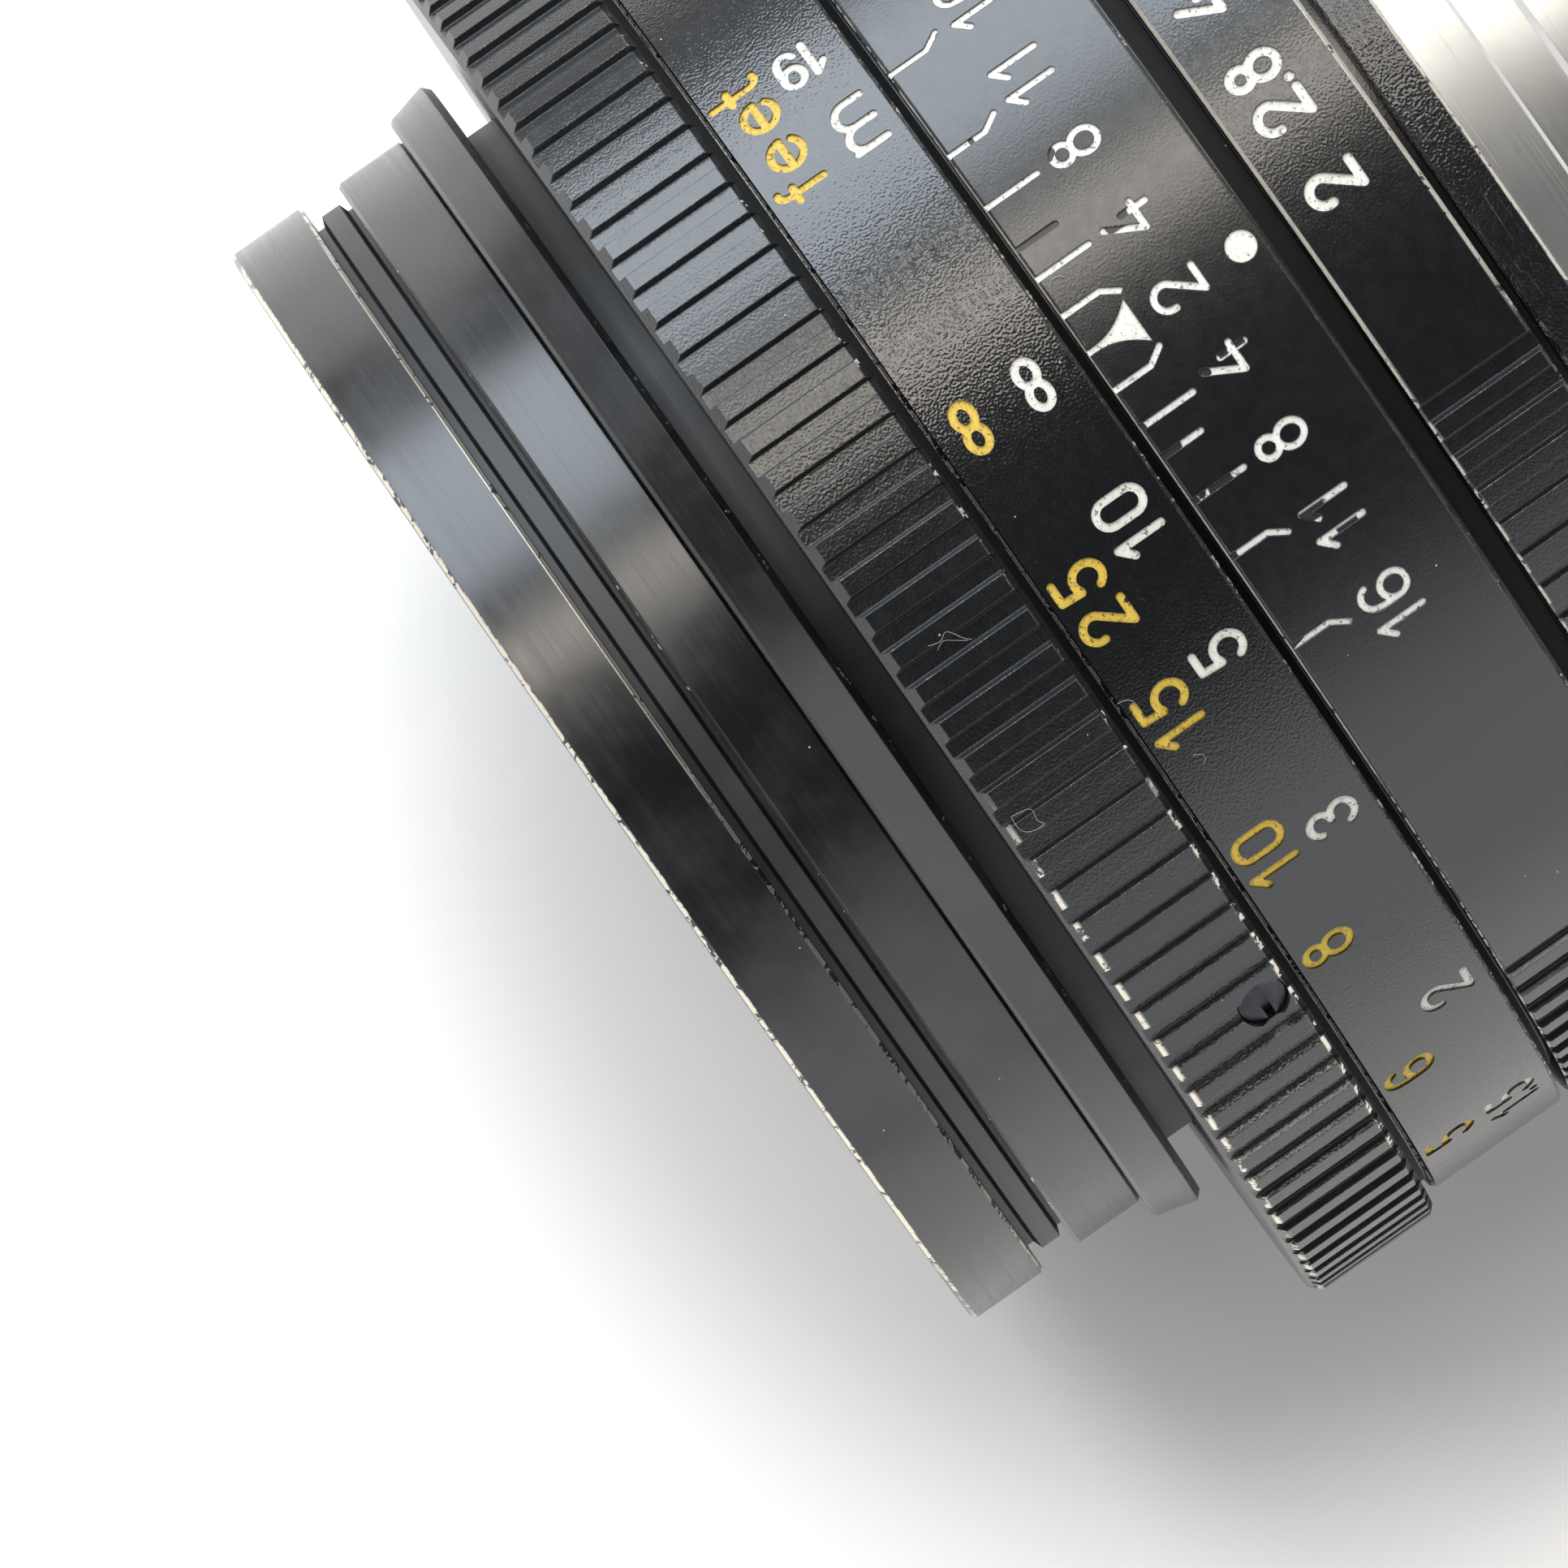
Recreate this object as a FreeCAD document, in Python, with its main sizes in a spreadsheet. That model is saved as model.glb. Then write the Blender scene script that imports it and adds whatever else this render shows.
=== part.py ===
import FreeCAD, Part
import math
import os
import Sketcher

# A prime lens with a focusing helicoid, a six-blade iris and a three-lug bayonet.
# Every piece is drawn with +Z along the optical axis towards the front and z = 0 on the
# mount flange, then laid down so that the lens looks along -Y with its index mark on top (+Z).

SIZES = {
    # lengths of the outer rings, from the mount flange to the front
    "flange_length": 2.3,
    "rear_ring_length": 1.8,
    "aperture_rear_gap": 0.35,
    "aperture_length": 5.0,
    "aperture_front_gap": 1.0,
    "depth_length": 7.7,
    "focus_gap": 0.4,
    "distance_length": 6.0,
    "grip_gap": 0.38,
    "grip_length": 5.67,
    "neck_length": 1.25,
    "step_length": 2.05,
    "hood_seat_length": 3.0,
    "hood_groove_length": 1.6,
    "trim_length": 3.28,
    # the radius of the travelling barrel, and the walls and steps counted from it
    "optical_radius": 25.0,
    "helicoid_wall": 2.3,
    "sleeve_wall": 1.85,
    "ring_wall": 1.3,
    "rear_ring_inset": 0.15,
    "flange_inset": 0.2,
    "grip_rise": 0.75,
    "grip_seat_depth": 0.45,
    "stop_collar_rise": 0.6,
    "neck_inset": 1.65,
    "spigot_inset": 0.75,
    "spigot_wall": 2.6,
    "step_rise": 0.95,
    "step_fall": 0.4,
    "hood_seat_inset": 1.25,
    "hood_groove_depth": 0.65,
    "undercut_depth": 0.4,
    "undercut_slope_length": 0.15,
    "front_undercut_length": 0.3,
    "rear_undercut_length": 0.2,
    "trim_rise": 0.1,
    "trim_wall": 4.0,
    "filter_ledge": 0.3,
    "trim_thread_inset": 2.0,
    "trim_thread_length": 2.0,
    "collar_rise": 1.2,
    "collar_length": 1.4,
    "iris_chamber_wall": 1.6,
    "iris_cup_wall": 1.05,
    "spigot_length": 3.5,
    "grip_lip_length": 0.75,
    "sleeve_setback": 1.0,
    "helicoid_setback": 1.2,
    "ring_bevel": 0.15,
    "trim_bevel": 0.2,
    "bore_bevel": 0.3,
    "step_bevel": 0.3,
    "grip_bevel": 0.42,
    "grip_rear_bevel": 0.27,
    # clearances
    "running_gap": 0.1,
    "seating_gap": 0.05,
    # ribbed grips
    "rib_angle": 20.0 / 7.0,
    "rib_cut_depth": 0.28,
    "rib_cut_width": 0.86,
    "rib_cut_floor_width": 0.62,
    "depth_rib_start_angle": 59.0,
    "depth_rib_sweep_angle": 62.0,
    "aperture_rib_start_angle": 15.6,
    "grip_rib_phase_angle": 0.15,
    # bayonet
    "throat_radius": 21.9,
    "bayonet_neck_wall": 1.0,
    "lug_rise": 1.2,
    "register_rise": 0.2,
    "register_length": 2.6,
    "bayonet_gap": 1.4,
    "lug_length": 1.5,
    "lug_sweep_angle": 62.0,
    "lug_count": 3,
    "lock_slot_width": 2.2,
    "lock_slot_depth": 2.2,
    "lock_slot_angle": 250.0,
    "screw_head_radius": 1.25,
    "screw_head_length": 1.0,
    "screw_shank_radius": 0.65,
    "screw_length": 6.6,
    "screw_start_angle": 22.0,
    "screw_count": 4,
    "baffle_thickness": 0.8,
    "baffle_gap": 1.7,
    "index_bead_radius": 0.8,
    "index_bead_rise": 0.2,
    # glass: thickness and edge radius of each element, and the radii of its curved faces
    "front_element_thickness": 4.4,
    "front_element_share": 0.62,
    "front_element_front_radius": 29.0,
    "front_element_back_radius": 80.0,
    "second_element_thickness": 6.4,
    "second_element_edge_radius": 13.2,
    "second_element_front_radius": 19.5,
    "third_element_thickness": 1.8,
    "third_element_back_radius": 12.6,
    "third_element_clear_radius": 9.9,
    "fourth_element_thickness": 1.8,
    "fourth_element_edge_radius": 11.0,
    "fourth_element_front_radius": 14.2,
    "fourth_element_clear_radius": 9.6,
    "fifth_element_thickness": 5.4,
    "fifth_element_edge_radius": 11.6,
    "fifth_element_back_radius": 19.2,
    "rear_element_thickness": 3.8,
    "rear_element_edge_radius": 12.2,
    "rear_element_front_radius": 90.0,
    "rear_element_back_radius": 40.0,
    "iris_to_third_length": 7.6,
    "iris_to_fourth_length": 6.0,
    "air_gap": 0.3,
    # cells and retainers
    "cell_lip_width": 0.7,
    "retainer_length": 1.9,
    "retainer_thread_width": 1.5,
    "bezel_step": 1.1,
    "rear_cell_wall": 1.35,
    "rear_nose_wall": 1.55,
    "rear_thread_rise": 1.4,
    "rear_boss_wall": 2.0,
    "rear_boss_length": 1.7,
    # iris
    "iris_station_length": 15.0,
    "iris_open_radius": 10.4,
    "iris_least_radius": 1.3,
    "iris_plate_thickness": 1.3,
    "rear_plate_thickness": 1.8,
    "blade_count": 6,
    "blade_thickness": 0.12,
    "blade_pitch": 0.2,
    "blade_cover_width": 0.3,
    "blade_pivot_inset": 4.0,
    "blade_edge_inset": 0.8,
    "blade_sweep_angle": 125.0,
    "blade_lead_angle": 4.0,
    "blade_pin_radius": 0.5,
    "blade_tab_radius": 1.4,
    "drive_pin_rise": 1.4,
    "drive_pin_lag_angle": 8.0,
    "cam_thickness": 1.2,
    "cam_nose_gap": 0.6,
    # aperture control
    "stop_count": 6,
    "stop_angle": 7.8,
    "lever_inset": 2.0,
    "lever_pin_radius": 0.8,
    "fork_width": 5.0,
    "fork_inset": 0.75,
    "fork_prong_width": 1.2,
    "fork_reach": 1.3,
    "fork_back_width": 2.0,
    "fork_bite": 0.6,
    "fork_end_gap": 0.3,
    "fork_window_margin": 0.5,
    "lever_window_margin": 0.2,
    "click_ball_radius": 1.2,
    "click_lift": 0.3,
    "click_track_width": 2.4,
    "click_spring_thickness": 0.3,
    "click_spring_width": 3.0,
    "click_spring_angle": 50.0,
    "click_foot_angle": 8.0,
    "click_spring_lead_angle": 6.0,
    # straight guide keys
    "key_width": 4.0,
    "key_depth": 1.1,
    "key_inset": 0.4,
    "key_reach_length": 3.5,
    "key_foot_width": 8.0,
    "key_foot_length": 1.8,
    # set screws of the focusing grip
    "grip_screw_count": 3,
    "grip_screw_radius": 0.95,
    "grip_screw_inset": 1.25,
    "grip_screw_angle": 46.0,
    "grip_screw_length": 1.5,
    "grip_screw_sink": 0.3,
    "slot_width": 0.35,
    "slot_depth": 0.4,
}

INDEX_ANGLE = 90.0
KEY_ANGLES = (0.0, 180.0)
CLICK_ANGLE = 90.0
BEAD_ANGLE = 30.0
VECTOR = FreeCAD.Vector
LAID_DOWN = FreeCAD.Rotation(VECTOR(1, 0, 0), 90)
LEAST_CUT_VOLUME = 0.001


class Size:
    """A length or an angle that carries its number and its formula in the sheet."""

    def __init__(self, number, formula):
        self.number = number
        self.formula = formula

    def __add__(self, other):
        other = as_size(other)
        return Size(self.number + other.number, f"({self.formula} + {other.formula})")

    def __sub__(self, other):
        other = as_size(other)
        return Size(self.number - other.number, f"({self.formula} - {other.formula})")

    def __mul__(self, factor):
        factor = as_size(factor)
        return Size(self.number * factor.number, f"({self.formula} * {factor.formula})")

    def __truediv__(self, factor):
        factor = as_size(factor)
        return Size(self.number / factor.number, f"({self.formula} / {factor.formula})")

    def __neg__(self):
        return Size(-self.number, f"(0 - {self.formula})")


def as_size(value):
    if isinstance(value, Size):
        return value
    return Size(float(value), repr(float(value)))


def make_sheet(doc):
    sheet = doc.addObject("Spreadsheet::Sheet", "dims")
    sizes = {}
    for row, (name, value) in enumerate(SIZES.items(), start=1):
        sheet.set(f"A{row}", name)
        sheet.set(f"B{row}", str(value))
        sheet.setAlias(f"B{row}", name)
        sizes[name] = Size(float(value), f"dims.{name}")
    doc.recompute()
    return sizes


def value(name):
    """A plain number from the sheet, for counts, angles and pieces shaped in code."""
    return float(doc.dims.get(name))


doc = FreeCAD.newDocument("prime_lens")
S = make_sheet(doc)
NODES = []
BLADES = int(value("blade_count"))
RING_TRAVEL = value("stop_count") * value("stop_angle")


# Stations along the optical axis, from the flange to the front

REAR_RING_Z = S["flange_length"]
REAR_RING_END = REAR_RING_Z + S["rear_ring_length"]
APERTURE_Z = REAR_RING_END + S["aperture_rear_gap"]
APERTURE_END = APERTURE_Z + S["aperture_length"]
DEPTH_Z = APERTURE_END + S["aperture_front_gap"]
DEPTH_END = DEPTH_Z + S["depth_length"]
DISTANCE_Z = DEPTH_END + S["focus_gap"]
DISTANCE_END = DISTANCE_Z + S["distance_length"]
GRIP_Z = DISTANCE_END + S["grip_gap"]
GRIP_END = GRIP_Z + S["grip_length"]
NECK_END = GRIP_END + S["neck_length"]
STEP_END = NECK_END + S["step_length"]
SEAT_END = STEP_END + S["hood_seat_length"]
TRIM_Z = SEAT_END + S["hood_groove_length"]
FRONT_Z = TRIM_Z + S["trim_length"]
LIP_Z = GRIP_END - S["grip_lip_length"]
SLEEVE_END = DISTANCE_END - S["sleeve_setback"]
COLLAR_END = LIP_Z - S["running_gap"]
COLLAR_Z = COLLAR_END - S["collar_length"]
SHELF_Z = NECK_END + S["spigot_length"]
SCREW_END = S["screw_length"] + S["running_gap"] * 2
RING_MIDDLE = APERTURE_Z + S["aperture_length"] / 2
REAR_RING_MIDDLE = REAR_RING_Z + S["rear_ring_length"] / 2
SCREW_STATION = GRIP_Z + S["grip_screw_inset"]

# Radii, counted outwards and inwards from the travelling barrel

HELICOID_IN = S["optical_radius"] + S["running_gap"]
HELICOID_OUT = HELICOID_IN + S["helicoid_wall"]
SLEEVE_IN = HELICOID_OUT + S["running_gap"]
SLEEVE_OUT = SLEEVE_IN + S["sleeve_wall"]
RING_IN = SLEEVE_OUT + S["running_gap"]
RING_RADIUS = RING_IN + S["ring_wall"]
REAR_RING_RADIUS = RING_RADIUS - S["rear_ring_inset"]
FLANGE_RADIUS = REAR_RING_RADIUS - S["flange_inset"]
GRIP_RADIUS = RING_RADIUS + S["grip_rise"]
GRIP_SEAT = RING_RADIUS - S["grip_seat_depth"]
COLLAR_RADIUS = S["optical_radius"] + S["collar_rise"]
NECK_RADIUS = S["optical_radius"] - S["neck_inset"]
SPIGOT_RADIUS = NECK_RADIUS - S["spigot_inset"]
CARRIER_BORE = SPIGOT_RADIUS - S["spigot_wall"]
STEP_RADIUS = S["optical_radius"] + S["step_rise"]
SEAT_RADIUS = STEP_RADIUS - S["hood_seat_inset"]
GROOVE_RADIUS = SEAT_RADIUS - S["hood_groove_depth"]
TRIM_RADIUS = SEAT_RADIUS + S["trim_rise"]
FILTER_BORE = TRIM_RADIUS - S["trim_wall"]
LEDGE_RADIUS = FILTER_BORE - S["filter_ledge"]
TRIM_THREAD = GROOVE_RADIUS - S["trim_thread_inset"]
CHAMBER_BORE = S["optical_radius"] - S["iris_chamber_wall"]
CHAMBER_FIT = CHAMBER_BORE - S["seating_gap"]
CUP_BORE = CHAMBER_FIT - S["iris_cup_wall"]
CAM_OUTER = CUP_BORE - S["running_gap"]
LEVER_CIRCLE = CAM_OUTER - S["lever_inset"]
PIVOT_CIRCLE = CAM_OUTER - S["blade_pivot_inset"]
DRIVE_CIRCLE = PIVOT_CIRCLE + S["drive_pin_rise"]
BLADE_OUTER = PIVOT_CIRCLE - S["blade_edge_inset"]
BLADE_INNER = S["iris_open_radius"] + S["blade_cover_width"]
SCREW_CIRCLE = SLEEVE_IN + S["sleeve_wall"] / 2
BAYONET_NECK = S["throat_radius"] + S["bayonet_neck_wall"]
LUG_RADIUS = BAYONET_NECK + S["lug_rise"]
REGISTER_RADIUS = LUG_RADIUS + S["register_rise"]
REAR_BORE = S["rear_element_edge_radius"] + S["seating_gap"]
REAR_CELL_RADIUS = REAR_BORE + S["rear_cell_wall"]
REAR_NOSE_RADIUS = S["fourth_element_edge_radius"] + S["seating_gap"] + S["rear_nose_wall"]
REAR_THREAD = REAR_CELL_RADIUS + S["rear_thread_rise"]
REAR_BOSS = REAR_THREAD + S["rear_boss_wall"]
CAM_INNER = REAR_NOSE_RADIUS + S["cam_nose_gap"]
FRONT_ELEMENT_RADIUS = S["optical_radius"] * S["front_element_share"]
FRONT_BORE = FRONT_ELEMENT_RADIUS + S["seating_gap"]
FRONT_THREAD = FRONT_BORE + S["retainer_thread_width"]

# Stations of the iris and the glass, from the iris outwards

IRIS_Z = S["iris_station_length"]
BLADE_STACK = S["blade_pitch"] * S["blade_count"]
BLADES_END = IRIS_Z + BLADE_STACK / 2
BLADES_Z = IRIS_Z - BLADE_STACK / 2
PLATE_Z = BLADES_END + S["running_gap"]
PLATE_END = PLATE_Z + S["iris_plate_thickness"]
CAM_END = BLADES_Z - S["running_gap"]
CAM_Z = CAM_END - S["cam_thickness"]
REAR_PLATE_END = CAM_Z - S["running_gap"]
REAR_PLATE_Z = REAR_PLATE_END - S["rear_plate_thickness"]
REAR_BOSS_Z = REAR_PLATE_Z - S["rear_boss_length"]
KEY_END = PLATE_END + S["key_reach_length"]
FORK_Z = APERTURE_Z + S["fork_inset"]
FORK_THICKNESS = S["aperture_length"] - S["fork_inset"] * 2
FORK_REAR = REAR_RING_Z + S["running_gap"] * 2
FORK_FRONT = REAR_PLATE_Z - S["fork_end_gap"]
LEVER_PIN_Z = FORK_REAR + S["running_gap"]

THIRD_BACK = IRIS_Z + S["iris_to_third_length"]
CEMENT_FRONT = THIRD_BACK + S["third_element_thickness"]
SECOND_FRONT = CEMENT_FRONT + S["second_element_thickness"]
FIRST_BACK = SECOND_FRONT + S["air_gap"]
FIRST_FRONT = FIRST_BACK + S["front_element_thickness"]
FOURTH_FRONT = IRIS_Z - S["iris_to_fourth_length"]
CEMENT_REAR = FOURTH_FRONT - S["fourth_element_thickness"]
FIFTH_BACK = CEMENT_REAR - S["fifth_element_thickness"]
SIXTH_FRONT = FIFTH_BACK - S["air_gap"]
SIXTH_BACK = SIXTH_FRONT - S["rear_element_thickness"]


def sag(curve, radius):
    """Depth of a spherical surface of the given curve at a radius from the axis."""
    depth = curve.number - math.sqrt(curve.number**2 - radius.number**2)
    formula = f"({curve.formula} - sqrt({curve.formula} ^ 2 - {radius.formula} ^ 2))"
    return Size(depth, formula)


FIRST_RIM_BACK = FIRST_BACK - sag(S["front_element_back_radius"], FRONT_ELEMENT_RADIUS)
FIRST_RIM_FRONT = FIRST_FRONT - sag(S["front_element_front_radius"], FRONT_ELEMENT_RADIUS)
SECOND_RIM = SECOND_FRONT - sag(S["second_element_front_radius"], S["second_element_edge_radius"])
THIRD_RIM = THIRD_BACK - sag(S["third_element_back_radius"], S["third_element_clear_radius"])
FOURTH_RIM = FOURTH_FRONT + sag(S["fourth_element_front_radius"], S["fourth_element_clear_radius"])
FIFTH_RIM = FIFTH_BACK + sag(S["fifth_element_back_radius"], S["fifth_element_edge_radius"])
SIXTH_RIM_FRONT = SIXTH_FRONT - sag(S["rear_element_front_radius"], S["rear_element_edge_radius"])
SIXTH_RIM_BACK = SIXTH_BACK + sag(S["rear_element_back_radius"], S["rear_element_edge_radius"])
FRONT_CELL_Z = THIRD_RIM - S["cell_lip_width"]
RETAINER_END = FIRST_RIM_FRONT + S["retainer_length"]
REAR_CELL_Z = SIXTH_RIM_BACK - S["retainer_length"]


# Sketch and feature helpers


def origin_feature(body, role):
    for feature in body.Origin.OriginFeatures:
        if feature.Role == role:
            return feature
    raise ValueError(role)


def new_body(name):
    body = doc.addObject("PartDesign::Body", name)
    body.Label = name
    NODES.append(body)
    return body


def new_sketch(body, name, role, azimuth=0.0):
    sketch = body.newObject("Sketcher::SketchObject", name)
    sketch.AttachmentSupport = [(origin_feature(body, role), "")]
    sketch.MapMode = "FlatFace"
    turn = FreeCAD.Rotation(VECTOR(0, 1, 0), azimuth)
    if role == "XY_Plane":
        turn = FreeCAD.Rotation(VECTOR(0, 0, 1), azimuth)
    sketch.AttachmentOffset = FreeCAD.Placement(VECTOR(0, 0, 0), turn)
    return sketch


def bind(sketch, kind, *args):
    """Adds a constraint whose last value is a Size and ties it to the sheet."""
    size = as_size(args[-1])
    number = sketch.addConstraint(Sketcher.Constraint(kind, *args[:-1], size.number))
    sketch.setExpression(f"Constraints[{number}]", size.formula)


def draw_outline(sketch, points):
    """A closed outline through (x, y) points, dimensioned from the sketch's origin."""
    points = [(as_size(x), as_size(y)) for x, y in points]
    count = len(points)
    for i in range(count):
        x1, y1 = points[i]
        x2, y2 = points[(i + 1) % count]
        start = VECTOR(x1.number, y1.number, 0)
        sketch.addGeometry(Part.LineSegment(start, VECTOR(x2.number, y2.number, 0)))
    for i in range(count):
        sketch.addConstraint(Sketcher.Constraint("Coincident", i, 2, (i + 1) % count, 1))
    for i, (x, y) in enumerate(points):
        last_x, last_y = points[i - 1]
        if i > 0 and x.formula == last_x.formula:
            sketch.addConstraint(Sketcher.Constraint("Vertical", i - 1))
        elif x.formula == "0.0":
            sketch.addConstraint(Sketcher.Constraint("PointOnObject", i, 1, -2))
        else:
            bind(sketch, "DistanceX", i, 1, x)
        if i > 0 and y.formula == last_y.formula:
            sketch.addConstraint(Sketcher.Constraint("Horizontal", i - 1))
        elif y.formula == "0.0":
            sketch.addConstraint(Sketcher.Constraint("PointOnObject", i, 1, -1))
        else:
            bind(sketch, "DistanceY", i, 1, y)


def draw_circle(sketch, x, y, radius):
    x, y, radius = as_size(x), as_size(y), as_size(radius)
    centre = VECTOR(x.number, y.number, 0)
    circle = sketch.addGeometry(Part.Circle(centre, VECTOR(0, 0, 1), radius.number))
    bind(sketch, "Radius", circle, radius)
    if x.formula == "0.0":
        sketch.addConstraint(Sketcher.Constraint("PointOnObject", circle, 3, -2))
    else:
        bind(sketch, "DistanceX", circle, 3, x)
    if y.formula == "0.0":
        sketch.addConstraint(Sketcher.Constraint("PointOnObject", circle, 3, -1))
    else:
        bind(sketch, "DistanceY", circle, 3, y)


def turned_feature(body, kind, name, points, start=0.0, sweep=None):
    """Turns an outline of (radius, station) points about the optical axis."""
    sketch = new_sketch(body, name + "_section", "XZ_Plane", start)
    draw_outline(sketch, points)
    feature = body.newObject("PartDesign::" + kind, name)
    feature.Profile = sketch
    feature.ReferenceAxis = (sketch, ["V_Axis"])
    feature.Angle = 360
    if sweep is not None:
        feature.setExpression("Angle", as_size(sweep).formula)
    return feature


def turned_body(name, points):
    body = new_body(name)
    turned_feature(body, "Revolution", name + "_turned", points)
    return body


def cut_along(body, name, points, depth=None, start=0.0, reverse=False):
    """Cuts an outline drawn across the axis, right through or to a depth from z = 0."""
    sketch = new_sketch(body, name + "_outline", "XY_Plane", start)
    if len(points) == 3:
        draw_circle(sketch, *points)
    else:
        draw_outline(sketch, points)
    pocket = body.newObject("PartDesign::Pocket", name)
    pocket.Profile = sketch
    if depth is None:
        pocket.Type = 1
        pocket.Midplane = True
    else:
        pocket.setExpression("Length", as_size(depth).formula)
        pocket.Reversed = reverse
    return pocket


def drill_inwards(body, name, station, radius, azimuth, reach):
    """A radial hole at an azimuth, from the optical axis out to the given reach."""
    sketch = new_sketch(body, name + "_circle", "XZ_Plane", azimuth + 90.0)
    draw_circle(sketch, 0.0, station, radius)
    pocket = body.newObject("PartDesign::Pocket", name)
    pocket.Profile = sketch
    pocket.setExpression("Length", as_size(reach).formula)
    pocket.Reversed = True
    return pocket


def repeat(body, name, feature, count, sweep=360.0):
    """Copies a feature evenly about the optical axis."""
    pattern = body.newObject("PartDesign::PolarPattern", name)
    pattern.Originals = [feature]
    pattern.Axis = (origin_feature(body, "Z_Axis"), [""])
    pattern.Angle = sweep
    pattern.Occurrences = int(count)
    body.Tip = pattern
    return pattern


def ring_outline(inner, outer, start, end, bevel):
    """The section of a plain ring with bevelled outer edges."""
    return [
        (inner, start),
        (outer - bevel, start),
        (outer, start + bevel),
        (outer, end - bevel),
        (outer - bevel, end),
        (inner, end),
    ]


def rectangle(left, right, low, high):
    return [(left, low), (right, low), (right, high), (left, high)]


def cut_ribs(body, name, radius, start, count, end):
    """Cuts the grooves between ribs from the start azimuth on, narrower at their floors."""
    floor = radius - S["rib_cut_depth"]
    half_floor = S["rib_cut_floor_width"] / 2
    half_mouth = S["rib_cut_width"] / 2
    groove = [(floor, -half_floor), (radius, -half_mouth), (radius, half_mouth), (floor, half_floor)]
    cut = cut_along(body, name, groove, depth=end, start=start, reverse=True)
    repeat(body, name + "_pattern", cut, count, value("rib_angle") * (count - 1))


# Fixed barrel and bayonet


def make_depth_barrel():
    """Fixed barrel: depth-of-field ring outside, focusing sleeve and click hole inside."""
    bevel = S["ring_bevel"]
    stop_z = APERTURE_END + S["running_gap"]
    stop_radius = SLEEVE_OUT + S["stop_collar_rise"]
    outline = [
        (SLEEVE_IN, REAR_RING_END),
        (SLEEVE_OUT, REAR_RING_END),
        (SLEEVE_OUT, stop_z),
        (stop_radius, stop_z),
        (stop_radius, DEPTH_Z),
        (RING_RADIUS - bevel, DEPTH_Z),
        (RING_RADIUS, DEPTH_Z + bevel),
        (RING_RADIUS, DEPTH_END - bevel),
        (RING_RADIUS - bevel, DEPTH_END),
        (SLEEVE_OUT, DEPTH_END),
        (SLEEVE_OUT, SLEEVE_END),
        (SLEEVE_IN, SLEEVE_END),
    ]
    body = turned_body("depth_barrel", outline)
    cut_depth_ribs(body, "left_ribs", value("depth_rib_start_angle"))
    cut_depth_ribs(body, "right_ribs", -value("depth_rib_start_angle") - value("depth_rib_sweep_angle"))
    cut_fork_window(body)
    hole = S["click_ball_radius"] + S["seating_gap"]
    drill_inwards(body, "click_hole", RING_MIDDLE, hole, CLICK_ANGLE, RING_RADIUS)
    cut_screw_holes(body, SCREW_END)


def cut_depth_ribs(body, name, start):
    """One ribbed side of the depth ring: the grooves stop at the ring's front face."""
    count = int(round(value("depth_rib_sweep_angle") / value("rib_angle")))
    azimuth = INDEX_ANGLE + start + value("rib_angle") / 2
    cut_ribs(body, name, RING_RADIUS, azimuth, count, DEPTH_END)


def cut_fork_window(body):
    """The slot in the sleeve that the aperture fork swings in."""
    reach = value("fork_width") / 2 + value("fork_window_margin")
    margin = math.degrees(reach / SLEEVE_IN.number)
    window = [
        (SLEEVE_IN - S["running_gap"], FORK_Z - S["running_gap"]),
        (SLEEVE_OUT + S["running_gap"], FORK_Z - S["running_gap"]),
        (SLEEVE_OUT + S["running_gap"], FORK_Z + FORK_THICKNESS + S["running_gap"]),
        (SLEEVE_IN - S["running_gap"], FORK_Z + FORK_THICKNESS + S["running_gap"]),
    ]
    start = lever_angle() - RING_TRAVEL - margin
    turned_feature(body, "Groove", "fork_window", window, start, RING_TRAVEL + 2 * margin)


def cut_screw_holes(body, depth):
    """Four holes for the mount screws, from the flange forwards."""
    circle = (SCREW_CIRCLE, 0.0, S["screw_shank_radius"] + S["seating_gap"])
    hole = cut_along(body, "screw_hole", circle, depth, value("screw_start_angle"), True)
    repeat(body, "screw_holes", hole, value("screw_count"))


def make_rear_ring():
    """Black ring between the aperture ring and the chromed flange."""
    outline = ring_outline(
        S["optical_radius"], REAR_RING_RADIUS, REAR_RING_Z, REAR_RING_END, S["ring_bevel"]
    )
    body = turned_body("rear_ring", outline)
    cut_screw_holes(body, SCREW_END)
    radius = S["index_bead_radius"] - S["ring_bevel"]
    drill_inwards(body, "bead_seat", REAR_RING_MIDDLE, radius, BEAD_ANGLE, GRIP_RADIUS)


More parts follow.
